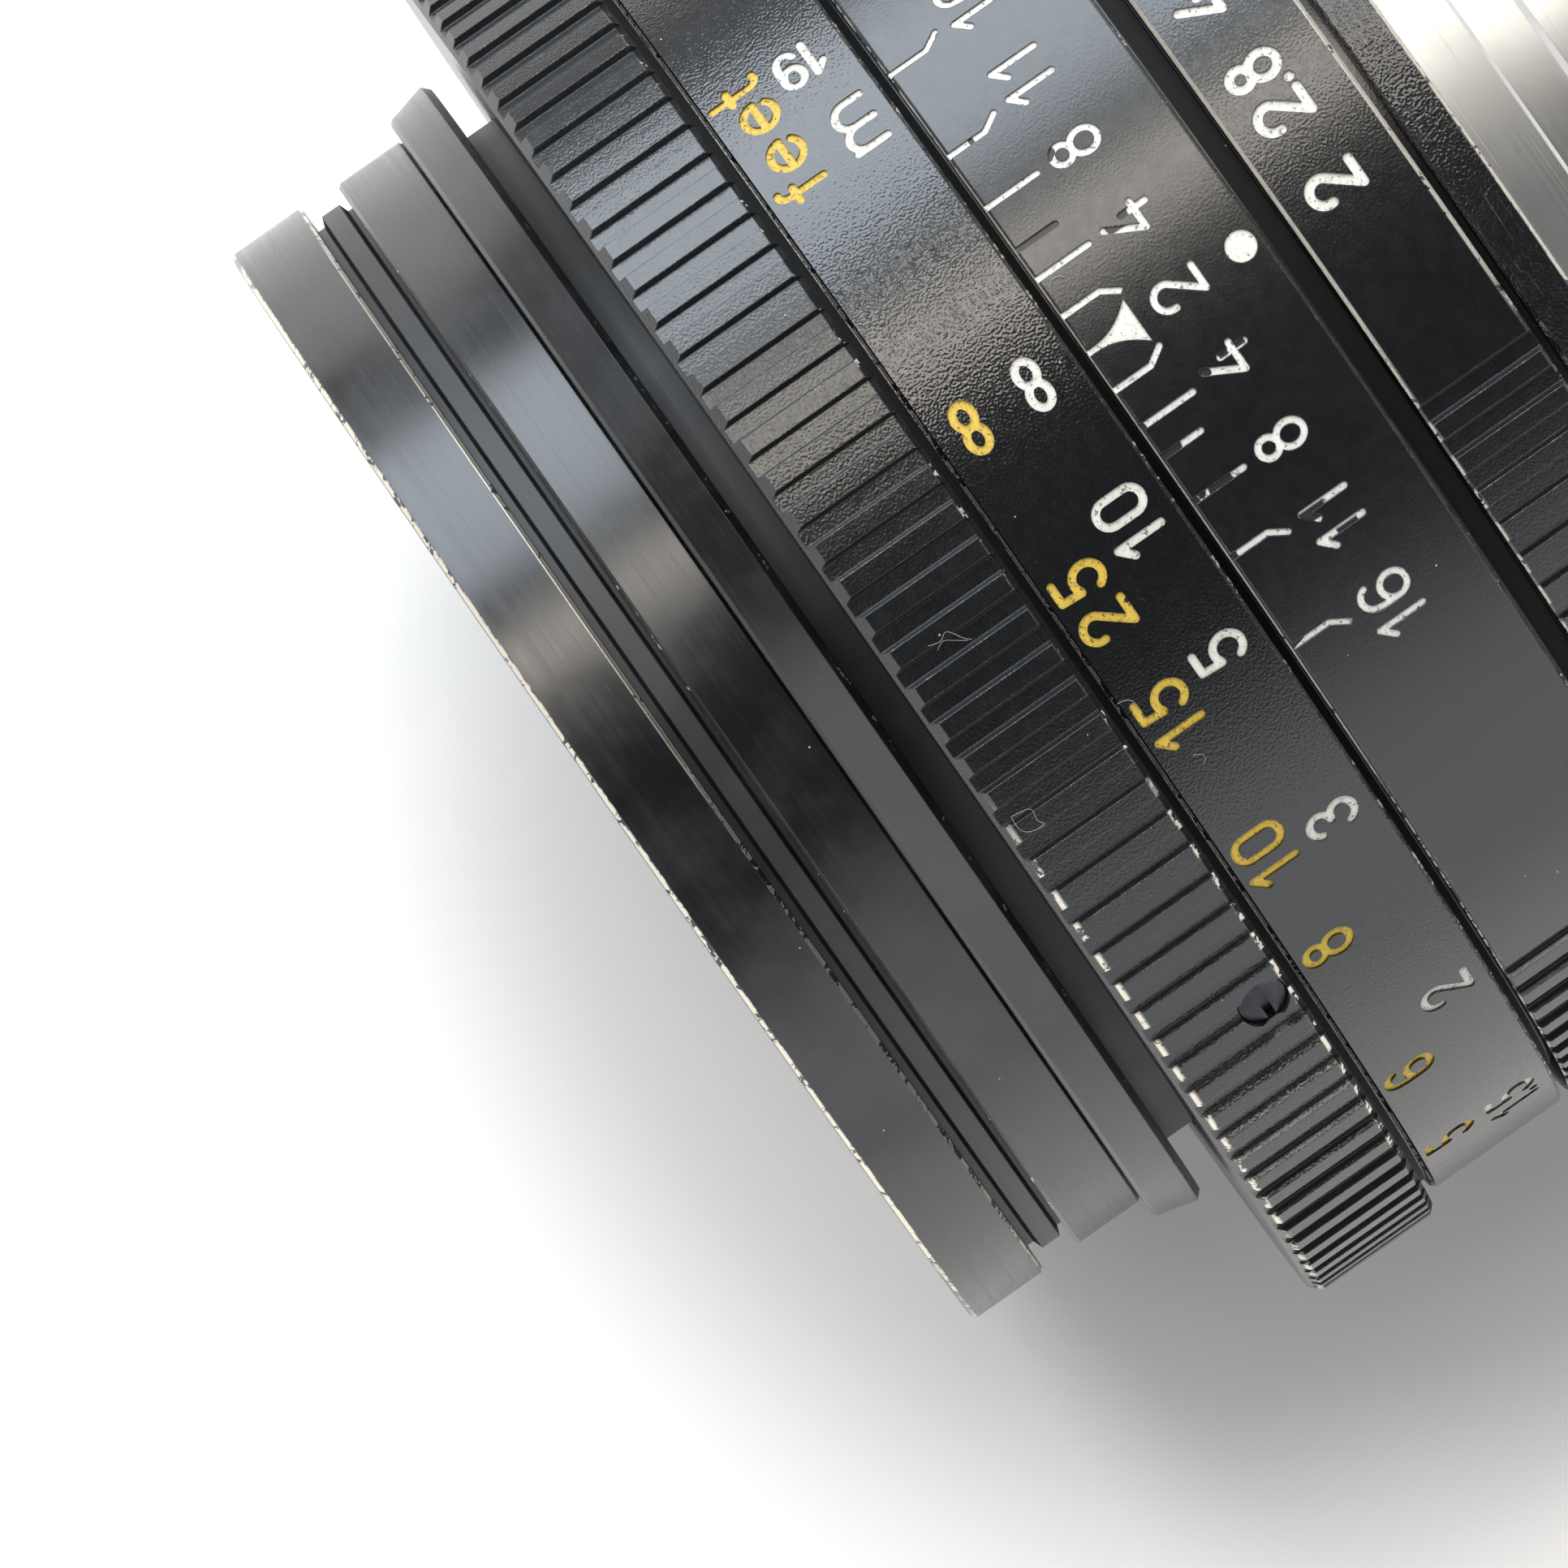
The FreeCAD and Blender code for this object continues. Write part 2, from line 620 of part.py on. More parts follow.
def make_bayonet_mount():
    """Chromed flange with its register collar, neck and three bayonet lugs."""
    bevel = S["ring_bevel"]
    neck_z = -S["register_length"]
    lug_z = neck_z - S["bayonet_gap"]
    end_z = lug_z - S["lug_length"]
    outline = [
        (S["throat_radius"], end_z),
        (BAYONET_NECK, end_z),
        (BAYONET_NECK, neck_z),
        (REGISTER_RADIUS - bevel * 2, neck_z),
        (REGISTER_RADIUS, neck_z + bevel * 2),
        (REGISTER_RADIUS, 0.0),
        (FLANGE_RADIUS - bevel, 0.0),
        (FLANGE_RADIUS, bevel),
        (FLANGE_RADIUS, S["flange_length"]),
        (S["throat_radius"], S["flange_length"]),
    ]
    body = turned_body("bayonet_mount", outline)
    inner = BAYONET_NECK - S["ring_bevel"]
    lug = [
        (inner, end_z),
        (LUG_RADIUS - bevel, end_z),
        (LUG_RADIUS, end_z + bevel),
        (LUG_RADIUS, lug_z),
        (inner, lug_z),
    ]
    feature = turned_feature(body, "Revolution", "lug", lug, 0.0, S["lug_sweep_angle"])
    repeat(body, "lugs", feature, value("lug_count"))
    head = (SCREW_CIRCLE, 0.0, S["screw_head_radius"] + S["seating_gap"])
    depth = S["screw_head_length"] + S["seating_gap"]
    bore = cut_along(body, "head_bore", head, depth, value("screw_start_angle"), True)
    repeat(body, "head_bores", bore, value("screw_count"))
    cut_screw_holes(body, S["flange_length"])
    half = S["lock_slot_width"] / 2
    slot_floor = FLANGE_RADIUS - S["lock_slot_depth"]
    slot = [
        (slot_floor, -half),
        (FLANGE_RADIUS, -half),
        (FLANGE_RADIUS, half),
        (slot_floor, half),
    ]
    cut_along(body, "lock_slot", slot, S["flange_length"] / 2, value("lock_slot_angle"), True)


def make_mount_screws():
    """Four countersunk screws that hold the flange, as one group."""
    body = new_body("mount_screws")
    body.AllowCompound = True
    head_z = S["seating_gap"]
    sketch = new_sketch(body, "head_circle", "XY_Plane", value("screw_start_angle"))
    draw_circle(sketch, SCREW_CIRCLE, 0.0, S["screw_head_radius"])
    head = body.newObject("PartDesign::Pad", "head")
    head.Profile = sketch
    head.setExpression("Length", S["screw_head_length"].formula)
    shank_sketch = new_sketch(body, "shank_circle", "XY_Plane", value("screw_start_angle"))
    draw_circle(shank_sketch, SCREW_CIRCLE, 0.0, S["screw_shank_radius"])
    shank = body.newObject("PartDesign::Pad", "shank")
    shank.Profile = shank_sketch
    shank.setExpression("Length", S["screw_length"].formula)
    for part_sketch in (sketch, shank_sketch):
        part_sketch.setExpression("AttachmentOffset.Base.z", head_z.formula)
    repeat(body, "screw_heads", head, value("screw_count")).Originals = [head, shank]


def make_guide_keys():
    """Two straight keys that stop the optical unit from turning as it travels."""
    body = new_body("guide_keys")
    body.AllowCompound = True
    outer = S["optical_radius"] - S["key_inset"]
    inner = outer - S["key_depth"]
    pads = []
    foot_in = S["throat_radius"] + S["running_gap"]
    for name, root, width, length in (
        ("key", inner, S["key_width"], KEY_END - REAR_RING_Z),
        ("foot", foot_in, S["key_foot_width"], S["key_foot_length"]),
    ):
        half = width / 2
        block = rectangle(root, outer, -half, half)
        sketch = new_sketch(body, name + "_outline", "XY_Plane", KEY_ANGLES[0])
        draw_outline(sketch, block)
        sketch.setExpression("AttachmentOffset.Base.z", REAR_RING_Z.formula)
        pad = body.newObject("PartDesign::Pad", name)
        pad.Profile = sketch
        pad.setExpression("Length", length.formula)
        pads.append(pad)
    repeat(body, "keys", pads[0], len(KEY_ANGLES)).Originals = pads


def make_rear_baffle():
    """Black light baffle in the bayonet's throat, around the rear cell."""
    end_z = -S["register_length"] - S["bayonet_gap"]
    start_z = end_z - S["baffle_thickness"]
    inner = REAR_CELL_RADIUS + S["baffle_gap"]
    wall = S["throat_radius"] - S["seating_gap"]
    outline = [
        (inner, start_z),
        (wall, start_z),
        (wall, -S["register_length"] / 2),
        (wall - S["baffle_thickness"], -S["register_length"] / 2),
        (wall - S["baffle_thickness"], end_z),
        (inner, end_z),
    ]
    turned_body("rear_baffle", outline)


def make_click_parts():
    """Click ball in its hole and the leaf spring that presses it outwards."""
    ball_r = RING_IN + S["click_lift"] - S["click_ball_radius"]
    body = new_body("click_ball")
    sketch = new_sketch(body, "ball_section", "XZ_Plane")
    add_half_disc(sketch, S["click_ball_radius"])
    ball = body.newObject("PartDesign::Revolution", "ball")
    ball.Profile = sketch
    ball.ReferenceAxis = (sketch, ["V_Axis"])
    ball.Angle = 360
    body.Placement.Base = LAID_DOWN.multVec(VECTOR(0, ball_r.number, RING_MIDDLE.number))
    spring_out = ball_r - S["click_ball_radius"]
    half = S["click_spring_width"] / 2
    leaf = [
        (spring_out - S["click_spring_thickness"], RING_MIDDLE - half),
        (spring_out, RING_MIDDLE - half),
        (spring_out, RING_MIDDLE + half),
        (spring_out - S["click_spring_thickness"], RING_MIDDLE + half),
    ]
    spring = new_body("click_spring")
    start = CLICK_ANGLE - value("click_spring_lead_angle")
    turned_feature(spring, "Revolution", "leaf", leaf, start, S["click_spring_angle"])
    pad = [
        (spring_out - S["click_spring_thickness"], RING_MIDDLE - half),
        (SLEEVE_IN - S["seating_gap"], RING_MIDDLE - half),
        (SLEEVE_IN - S["seating_gap"], RING_MIDDLE + half),
        (spring_out - S["click_spring_thickness"], RING_MIDDLE + half),
    ]
    foot_start = start + value("click_spring_angle") - value("click_foot_angle")
    turned_feature(spring, "Revolution", "foot", pad, foot_start, S["click_foot_angle"])


def add_half_disc(sketch, radius):
    """Half a disc on the sketch's vertical axis, for turning a ball."""
    arc = Part.ArcOfCircle(
        Part.Circle(VECTOR(0, 0, 0), VECTOR(0, 0, 1), radius.number), -math.pi / 2, math.pi / 2
    )
    arc_id = sketch.addGeometry(arc)
    top = VECTOR(0, radius.number, 0)
    line_id = sketch.addGeometry(Part.LineSegment(top, top * -1))
    sketch.addConstraint(Sketcher.Constraint("Coincident", arc_id, 2, line_id, 1))
    sketch.addConstraint(Sketcher.Constraint("Coincident", line_id, 2, arc_id, 1))
    sketch.addConstraint(Sketcher.Constraint("Coincident", arc_id, 3, -1, 1))
    sketch.addConstraint(Sketcher.Constraint("PointOnObject", line_id, 1, -2))
    bind(sketch, "Radius", arc_id, radius)


def make_index_bead():
    """Small bead in the rear ring that shows how to offer the lens to a camera."""
    body = new_body("mount_index_bead")
    radius = S["index_bead_radius"]
    sketch = new_sketch(body, "bead_section", "XZ_Plane")
    shank = radius - S["ring_bevel"] - S["seating_gap"]
    outline = [
        (0.0, -radius),
        (shank, -radius),
        (shank, S["seating_gap"]),
        (shank - S["ring_bevel"], S["ring_bevel"]),
        (0.0, S["index_bead_rise"]),
    ]
    draw_outline(sketch, outline)
    bead = body.newObject("PartDesign::Revolution", "bead")
    bead.Profile = sketch
    bead.ReferenceAxis = (sketch, ["V_Axis"])
    bead.Angle = 360
    angle = math.radians(BEAD_ANGLE)
    radial = VECTOR(math.cos(angle), math.sin(angle), 0)
    seat = radial * REAR_RING_RADIUS.number + VECTOR(0, 0, REAR_RING_MIDDLE.number)
    body.Placement.Base = LAID_DOWN.multVec(seat)
    body.Placement.Rotation = LAID_DOWN.multiply(FreeCAD.Rotation(VECTOR(0, 0, 1), radial))


# Aperture ring and its drive


def make_aperture_ring():
    """Click-stopped ring with ribs all round but for the sector that carries its numerals."""
    body = turned_body(
        "aperture_ring",
        ring_outline(RING_IN, RING_RADIUS, APERTURE_Z, APERTURE_END, S["ring_bevel"]),
    )
    cut_aperture_ribs(body)
    cut_click_track(body)
    half = S["fork_width"] / 2 + S["seating_gap"]
    floor = RING_IN + S["fork_bite"] + S["seating_gap"]
    notch = rectangle(-half, half, RING_IN - S["running_gap"], floor)
    sketch = new_sketch(body, "fork_notch_outline", "XY_Plane", lever_angle() - 90.0)
    draw_outline(sketch, notch)
    sketch.setExpression("AttachmentOffset.Base.z", (FORK_Z - S["seating_gap"]).formula)
    pocket = body.newObject("PartDesign::Pocket", "fork_notch")
    pocket.Profile = sketch
    pocket.setExpression("Length", (FORK_THICKNESS + S["seating_gap"] * 2).formula)
    pocket.Reversed = True


def cut_aperture_ribs(body):
    """Ribs from one side of the numerals round to the other."""
    flat = RING_TRAVEL + 2 * value("aperture_rib_start_angle")
    count = int((360.0 - flat) / value("rib_angle"))
    first = INDEX_ANGLE - value("aperture_rib_start_angle") - value("rib_angle") / 2
    start = first - value("rib_angle") * (count - 1)
    cut_ribs(body, "ring_ribs", RING_RADIUS, start, count, APERTURE_END)


def cut_click_track(body):
    """Shallow track with one deeper dimple for each aperture."""
    half = S["click_track_width"] / 2
    floor = RING_IN + S["click_lift"] + S["running_gap"]
    track = rectangle(RING_IN - S["running_gap"], floor, RING_MIDDLE - half, RING_MIDDLE + half)
    turned_feature(body, "Groove", "click_track", track)
    reach = floor + S["click_lift"]
    radius = S["click_ball_radius"] / 2
    dimple = drill_inwards(body, "dimple", RING_MIDDLE, radius, CLICK_ANGLE, reach)
    repeat(body, "dimples", dimple, value("stop_count") + 1, RING_TRAVEL)


def make_aperture_fork():
    """Arm and channel that carry the ring's turn to the iris wherever the lens is focused."""
    body = new_body("aperture_fork")
    half = S["fork_width"] / 2
    slot = S["lever_pin_radius"] + S["running_gap"]
    wide = slot + S["fork_prong_width"]
    tip = LEVER_CIRCLE - S["fork_reach"]
    back = LEVER_CIRCLE + S["fork_back_width"]
    bar_in = back - S["fork_prong_width"]
    arm_end = RING_IN + S["fork_bite"]
    channel = [
        (-wide, tip),
        (-slot, tip),
        (-slot, bar_in),
        (slot, bar_in),
        (slot, tip),
        (wide, tip),
        (wide, back),
        (-wide, back),
    ]
    arm = [(-half, bar_in), (half, bar_in), (half, arm_end), (-half, arm_end)]
    for name, outline, start, length in (
        ("channel", channel, FORK_REAR, FORK_FRONT - FORK_REAR),
        ("arm", arm, FORK_Z, FORK_THICKNESS),
    ):
        sketch = new_sketch(body, name + "_outline", "XY_Plane", lever_angle() - 90.0)
        draw_outline(sketch, outline)
        sketch.setExpression("AttachmentOffset.Base.z", start.formula)
        pad = body.newObject("PartDesign::Pad", name)
        pad.Profile = sketch
        pad.setExpression("Length", length.formula)


# Focusing ring


def make_focus_helicoid():
    """Rotating sleeve that climbs in the fixed barrel and carries the outer rings."""
    bore = COLLAR_RADIUS + S["running_gap"]
    flange_z = SLEEVE_END + S["focus_gap"]
    outline = [
        (HELICOID_IN, REAR_PLATE_Z + S["helicoid_setback"]),
        (HELICOID_OUT, REAR_PLATE_Z + S["helicoid_setback"]),
        (HELICOID_OUT, flange_z),
        (RING_IN - S["seating_gap"], flange_z),
        (RING_IN - S["seating_gap"], COLLAR_END),
        (bore, COLLAR_END),
        (bore, COLLAR_Z - S["running_gap"]),
        (HELICOID_IN, COLLAR_Z - S["running_gap"]),
    ]
    turned_body("focus_helicoid", outline)


def make_distance_ring():
    """Ring that carries the distance scale, with a shoulder under the grip."""
    bevel = S["ring_bevel"]
    shoulder = GRIP_SEAT - S["seating_gap"]
    outline = [
        (RING_IN, DISTANCE_Z),
        (RING_RADIUS - bevel, DISTANCE_Z),
        (RING_RADIUS, DISTANCE_Z + bevel),
        (RING_RADIUS, DISTANCE_END - bevel),
        (RING_RADIUS - bevel, DISTANCE_END),
        (shoulder, DISTANCE_END),
        (shoulder, COLLAR_END),
        (RING_IN, COLLAR_END),
    ]
    body = turned_body("distance_ring", outline)
    cut_screw_seats(body)


def cut_screw_seats(body):
    radius = S["grip_screw_radius"] + S["seating_gap"]
    azimuth = INDEX_ANGLE - value("grip_screw_angle")
    hole = drill_inwards(body, "set_screw_hole", SCREW_STATION, radius, azimuth, GRIP_RADIUS)
    repeat(body, "set_screw_holes", hole, value("grip_screw_count"))


def make_focus_grip():
    """Ribbed focusing grip with a lip that closes the front of the helicoid."""
    bevel = S["grip_bevel"]
    rear_bevel = S["grip_rear_bevel"]
    lip_radius = NECK_RADIUS + S["running_gap"] * 2.5
    outline = [
        (GRIP_SEAT, GRIP_Z),
        (GRIP_RADIUS - rear_bevel, GRIP_Z),
        (GRIP_RADIUS, GRIP_Z + rear_bevel),
        (GRIP_RADIUS, GRIP_END - bevel),
        (GRIP_RADIUS - bevel, GRIP_END),
        (lip_radius, GRIP_END),
        (lip_radius, LIP_Z),
        (GRIP_SEAT, LIP_Z),
    ]
    body = turned_body("focus_grip", outline)
    count = int(round(360.0 / value("rib_angle")))
    start = INDEX_ANGLE + value("grip_rib_phase_angle")
    cut_ribs(body, "grip_ribs", GRIP_RADIUS, start, count, GRIP_END)
    cut_screw_seats(body)


def make_grip_screws():
    """Slotted set screws that lock the grip to the distance ring, as one group."""
    body = new_body("grip_screws")
    body.AllowCompound = True
    azimuth = INDEX_ANGLE - value("grip_screw_angle")
    head = GRIP_RADIUS - S["grip_screw_sink"]
    sketch = new_sketch(body, "set_screw_circle", "XZ_Plane", azimuth + 90.0)
    draw_circle(sketch, 0.0, SCREW_STATION, S["grip_screw_radius"])
    screw = body.newObject("PartDesign::Pad", "set_screw")
    screw.Profile = sketch
    screw.setExpression("Length", head.formula)
    repeat(body, "set_screws", screw, value("grip_screw_count"))
    tip = head - S["grip_screw_length"]
    core = rectangle(as_size(0.0), tip, GRIP_Z, GRIP_END)
    turned_feature(body, "Groove", "core", core)
    half = S["slot_width"] / 2
    slot = rectangle(head - S["slot_depth"], GRIP_RADIUS, SCREW_STATION - half, SCREW_STATION + half)
    turned_feature(body, "Groove", "slots", slot)


# Optical unit


def make_optical_barrel():
    """Straight-travelling barrel: iris chamber behind, neck and thread for the front."""
    outline = [
        (CHAMBER_BORE, REAR_PLATE_Z),
        (S["optical_radius"], REAR_PLATE_Z),
        (S["optical_radius"], COLLAR_Z),
        (COLLAR_RADIUS, COLLAR_Z),
        (COLLAR_RADIUS, COLLAR_END),
        (NECK_RADIUS, COLLAR_END),
        (NECK_RADIUS, NECK_END),
        (SPIGOT_RADIUS, NECK_END),
        (SPIGOT_RADIUS, SHELF_Z),
        (CARRIER_BORE, SHELF_Z),
        (CARRIER_BORE, PLATE_END),
        (CHAMBER_BORE, PLATE_END),
    ]
    body = turned_body("optical_barrel", outline)
    half = S["key_width"] / 2 + S["running_gap"]
    outer = S["optical_radius"] + S["running_gap"]
    inner = CHAMBER_BORE - S["running_gap"]
    slot = [(inner, -half), (outer, -half), (outer, half), (inner, half)]
    depth = KEY_END + S["focus_gap"]
    cut = cut_along(body, "key_slot", slot, depth, KEY_ANGLES[0], True)
    repeat(body, "key_slots", cut, len(KEY_ANGLES))


def make_front_barrel():
    """Front section with its step ring, hood seat and hood groove."""
    inner = SPIGOT_RADIUS + S["seating_gap"]
    thread_z = TRIM_Z - S["trim_thread_length"]
    bevel = S["ring_bevel"]
    step_front = STEP_RADIUS - S["step_fall"]
    undercut = GROOVE_RADIUS - S["undercut_depth"]
    rear_cut_end = SEAT_END + S["rear_undercut_length"]
    front_cut_z = TRIM_Z - S["front_undercut_length"]
    outline = [
        (inner, NECK_END),
        (STEP_RADIUS - S["step_bevel"], NECK_END),
        (STEP_RADIUS, NECK_END + S["step_bevel"]),
        (step_front, STEP_END - bevel),
        (step_front - bevel, STEP_END),
        (SEAT_RADIUS - bevel, STEP_END),
        (SEAT_RADIUS, STEP_END + bevel),
        (SEAT_RADIUS, SEAT_END - bevel),
        (SEAT_RADIUS - bevel, SEAT_END),
        (undercut, SEAT_END),
        (undercut, rear_cut_end),
        (GROOVE_RADIUS, rear_cut_end + S["undercut_slope_length"]),
        (GROOVE_RADIUS, front_cut_z - S["undercut_slope_length"]),
        (undercut, front_cut_z),
        (undercut, TRIM_Z),
        (TRIM_THREAD, TRIM_Z),
        (TRIM_THREAD, thread_z),
        (LEDGE_RADIUS, thread_z),
        (LEDGE_RADIUS, SHELF_Z),
        (inner, SHELF_Z),
    ]
    turned_body("front_barrel", outline)


def make_trim_ring():
    """Front ring that screws in and holds a drop-in filter; its front rim wears bare."""
    thread = TRIM_THREAD - S["seating_gap"]
    thread_z = TRIM_Z - S["trim_thread_length"] + S["seating_gap"]
    bevel = S["ring_bevel"]
    outline = [
        (FILTER_BORE, thread_z),
        (thread, thread_z),
        (thread, TRIM_Z),
        (TRIM_RADIUS - bevel, TRIM_Z),
        (TRIM_RADIUS, TRIM_Z + bevel),
        (TRIM_RADIUS, FRONT_Z - S["trim_bevel"]),
        (TRIM_RADIUS - S["trim_bevel"], FRONT_Z),
        (FILTER_BORE + S["bore_bevel"], FRONT_Z),
        (FILTER_BORE, FRONT_Z - S["bore_bevel"]),
    ]
    turned_body("trim_ring", outline)


def make_bezel_ring():
    """Black funnel between the filter seat and the front glass."""
    outer = CARRIER_BORE - S["seating_gap"]
    mouth = FRONT_ELEMENT_RADIUS + S["bezel_step"]
    outline = [
        (mouth, RETAINER_END),
        (outer, RETAINER_END),
        (outer, SHELF_Z),
        (LEDGE_RADIUS - S["seating_gap"], SHELF_Z),
        (LEDGE_RADIUS - S["seating_gap"], SHELF_Z + S["cell_lip_width"]),
        (outer, SHELF_Z + S["cell_lip_width"]),
        (mouth, RETAINER_END + S["cell_lip_width"]),
    ]
    turned_body("bezel_ring", outline)


def make_front_cell():
    """Cell that holds the three front elements."""
    bore = S["second_element_edge_radius"] + S["seating_gap"]
    nose = S["second_element_edge_radius"] + S["cell_lip_width"] * 2
    outer = CARRIER_BORE - S["running_gap"]
    shoulder_z = PLATE_END + S["cell_lip_width"] * 3
    step_z = SECOND_RIM + S["cell_lip_width"] * 2
    outline = [
        (S["third_element_clear_radius"] + S["cell_lip_width"], FRONT_CELL_Z),
        (nose, FRONT_CELL_Z),
        (nose, shoulder_z),
        (outer, shoulder_z),
        (outer, RETAINER_END),
        (FRONT_THREAD, RETAINER_END),
        (FRONT_THREAD, FIRST_RIM_FRONT),
        (FRONT_BORE, FIRST_RIM_FRONT),
        (FRONT_BORE, step_z),
        (bore, step_z),
        (bore, THIRD_RIM),
        (S["third_element_clear_radius"] + S["cell_lip_width"], THIRD_RIM),
    ]
    turned_body("front_cell", outline)


def make_front_retainer():
    """Threaded ring that keeps the front element in its cell."""
    thread = FRONT_THREAD - S["seating_gap"]
    lip = FRONT_ELEMENT_RADIUS - S["cell_lip_width"]
    lip_z = FIRST_FRONT - sag(S["front_element_front_radius"], lip) + S["seating_gap"]
    outline = [
        (lip, lip_z),
        (thread, lip_z),
        (thread, RETAINER_END),
        (lip + S["cell_lip_width"], RETAINER_END),
    ]
    turned_body("front_retainer", outline)


def make_front_spacer():
    """Ring between the front element and the cemented pair behind it."""
    lip = S["second_element_edge_radius"] - S["cell_lip_width"]
    lip_z = SECOND_FRONT - sag(S["second_element_front_radius"], lip) + S["seating_gap"]
    step_z = SECOND_RIM + S["cell_lip_width"] * 2
    seat = FRONT_ELEMENT_RADIUS - S["cell_lip_width"] * 2
    outline = [
        (lip, lip_z),
        (S["second_element_edge_radius"], lip_z),
        (S["second_element_edge_radius"], step_z),
        (FRONT_ELEMENT_RADIUS, step_z),
        (FRONT_ELEMENT_RADIUS, FIRST_RIM_BACK - S["seating_gap"]),
        (seat, FIRST_RIM_BACK - S["seating_gap"]),
    ]
    turned_body("front_spacer", outline)


def make_rear_cell():
    """Cell that holds the three rear elements; its nose reaches into the cam ring."""
    bore = S["fourth_element_edge_radius"] + S["seating_gap"]
    lip = S["fourth_element_clear_radius"] + S["cell_lip_width"] / 2
    nose_end = FOURTH_RIM + S["cell_lip_width"]
    thread = REAR_THREAD - S["seating_gap"]
    outline = [
        (lip, FOURTH_RIM),
        (bore, FOURTH_RIM),
        (bore, CEMENT_REAR),
        (S["fifth_element_edge_radius"] + S["seating_gap"], CEMENT_REAR),
        (S["fifth_element_edge_radius"] + S["seating_gap"], FIFTH_RIM - S["cell_lip_width"] / 2),
        (REAR_BORE, FIFTH_RIM - S["cell_lip_width"] / 2),
        (REAR_BORE, REAR_CELL_Z),
        (REAR_CELL_RADIUS, REAR_CELL_Z),
        (REAR_CELL_RADIUS, REAR_BOSS_Z),
        (thread, REAR_BOSS_Z),
        (thread, REAR_PLATE_Z),
        (REAR_NOSE_RADIUS, REAR_PLATE_Z),
        (REAR_NOSE_RADIUS, nose_end),
        (lip, nose_end),
    ]
    turned_body("rear_cell", outline)


def make_rear_spacer():
    """Ring between the rear cemented pair and the rear element."""
    lip = S["fifth_element_edge_radius"] - S["cell_lip_width"]
    lip_z = FIFTH_BACK + sag(S["fifth_element_back_radius"], lip) - S["seating_gap"]
    outline = [
        (lip, SIXTH_FRONT - S["seating_gap"]),
        (S["rear_element_edge_radius"], SIXTH_FRONT - S["seating_gap"]),
        (S["rear_element_edge_radius"], lip_z),
        (lip, lip_z),
    ]
    turned_body("rear_spacer", outline)


def make_rear_retainer():
    """Threaded ring behind the rear element."""
    lip = S["rear_element_edge_radius"] - S["cell_lip_width"]
    lip_z = SIXTH_BACK + sag(S["rear_element_back_radius"], lip) - S["seating_gap"]
    outline = [
        (lip, REAR_CELL_Z),
        (S["rear_element_edge_radius"], REAR_CELL_Z),
        (S["rear_element_edge_radius"], lip_z),
        (lip, lip_z),
    ]
    turned_body("rear_retainer", outline)


# Glass


def add_surface(sketch, curve, centre_z, start, end):
    """An arc centred on the axis from start to end, tied to its curve; returns its ends."""
    centre = VECTOR(0, centre_z, 0)
    first = math.atan2(start[1] - centre_z, start[0])
    last = math.atan2(end[1] - centre_z, end[0])
    forwards = first < last
    low, high = min(first, last), max(first, last)
    circle = Part.Circle(centre, VECTOR(0, 0, 1), curve.number)
    arc = sketch.addGeometry(Part.ArcOfCircle(circle, low, high))
    sketch.addConstraint(Sketcher.Constraint("PointOnObject", arc, 3, -2))
    bind(sketch, "Radius", arc, curve)
    if forwards:
        return (arc, 1), (arc, 2)
    return (arc, 2), (arc, 1)


def add_line(sketch, start, end):
    line = Part.LineSegment(VECTOR(start[0], start[1], 0), VECTOR(end[0], end[1], 0))
    number = sketch.addGeometry(line)
    return (number, 1), (number, 2)


def make_element(name, edge, back, front):
    """A glass element: each side is (vertex station, curve or None, bend, clear radius).

    The bend is the side of the vertex that the surface's centre lies on: 1 in front of it
    and -1 behind it. A hollow side with a clear radius ends in a flat rim.
    """
    body = new_body(name)
    sketch = new_sketch(body, name + "_section", "XZ_Plane")
    chain = []
    corners = []
    for side, (vertex, curve, bend, clear) in (("back", back), ("front", front)):
        reach = edge if clear is None else clear
        rim = vertex.number
        if curve is not None:
            rim += bend * sag(curve, reach).number
        spots = [(0.0, vertex.number), (reach.number, rim)]
        if clear is not None:
            spots.append((edge.number, rim))
        steps = []
        if curve is None:
            steps.append(add_line(sketch, spots[0], spots[1]))
            sketch.addConstraint(Sketcher.Constraint("Horizontal", steps[0][0][0]))
        else:
            centre_z = vertex.number + bend * curve.number
            steps.append(add_surface(sketch, curve, centre_z, spots[0], spots[1]))
        if clear is not None:
            steps.append(add_line(sketch, spots[1], spots[2]))
            sketch.addConstraint(Sketcher.Constraint("Horizontal", steps[1][0][0]))
            bind(sketch, "DistanceX", *steps[0][1], clear)
        if side == "front":
            steps = [(end, start) for start, end in reversed(steps)]
        axis_end = steps[0][0] if side == "back" else steps[-1][1]
        rim_end = steps[-1][1] if side == "back" else steps[0][0]
        sketch.addConstraint(Sketcher.Constraint("PointOnObject", *axis_end, -2))
        bind(sketch, "DistanceY", *axis_end, vertex)
        bind(sketch, "DistanceX", *rim_end, edge)
        corners.append((spots[0], spots[-1]))
        chain.append(steps)
    wall = add_line(sketch, corners[0][1], corners[1][1])
    axis = add_line(sketch, corners[1][0], corners[0][0])
    loop = chain[0] + [wall] + chain[1] + [axis]
    for i, (_, end) in enumerate(loop):
        start = loop[(i + 1) % len(loop)][0]
        sketch.addConstraint(Sketcher.Constraint("Coincident", *end, *start))
    glass = body.newObject("PartDesign::Revolution", name + "_glass")
    glass.Profile = sketch
    glass.ReferenceAxis = (sketch, ["V_Axis"])
    glass.Angle = 360


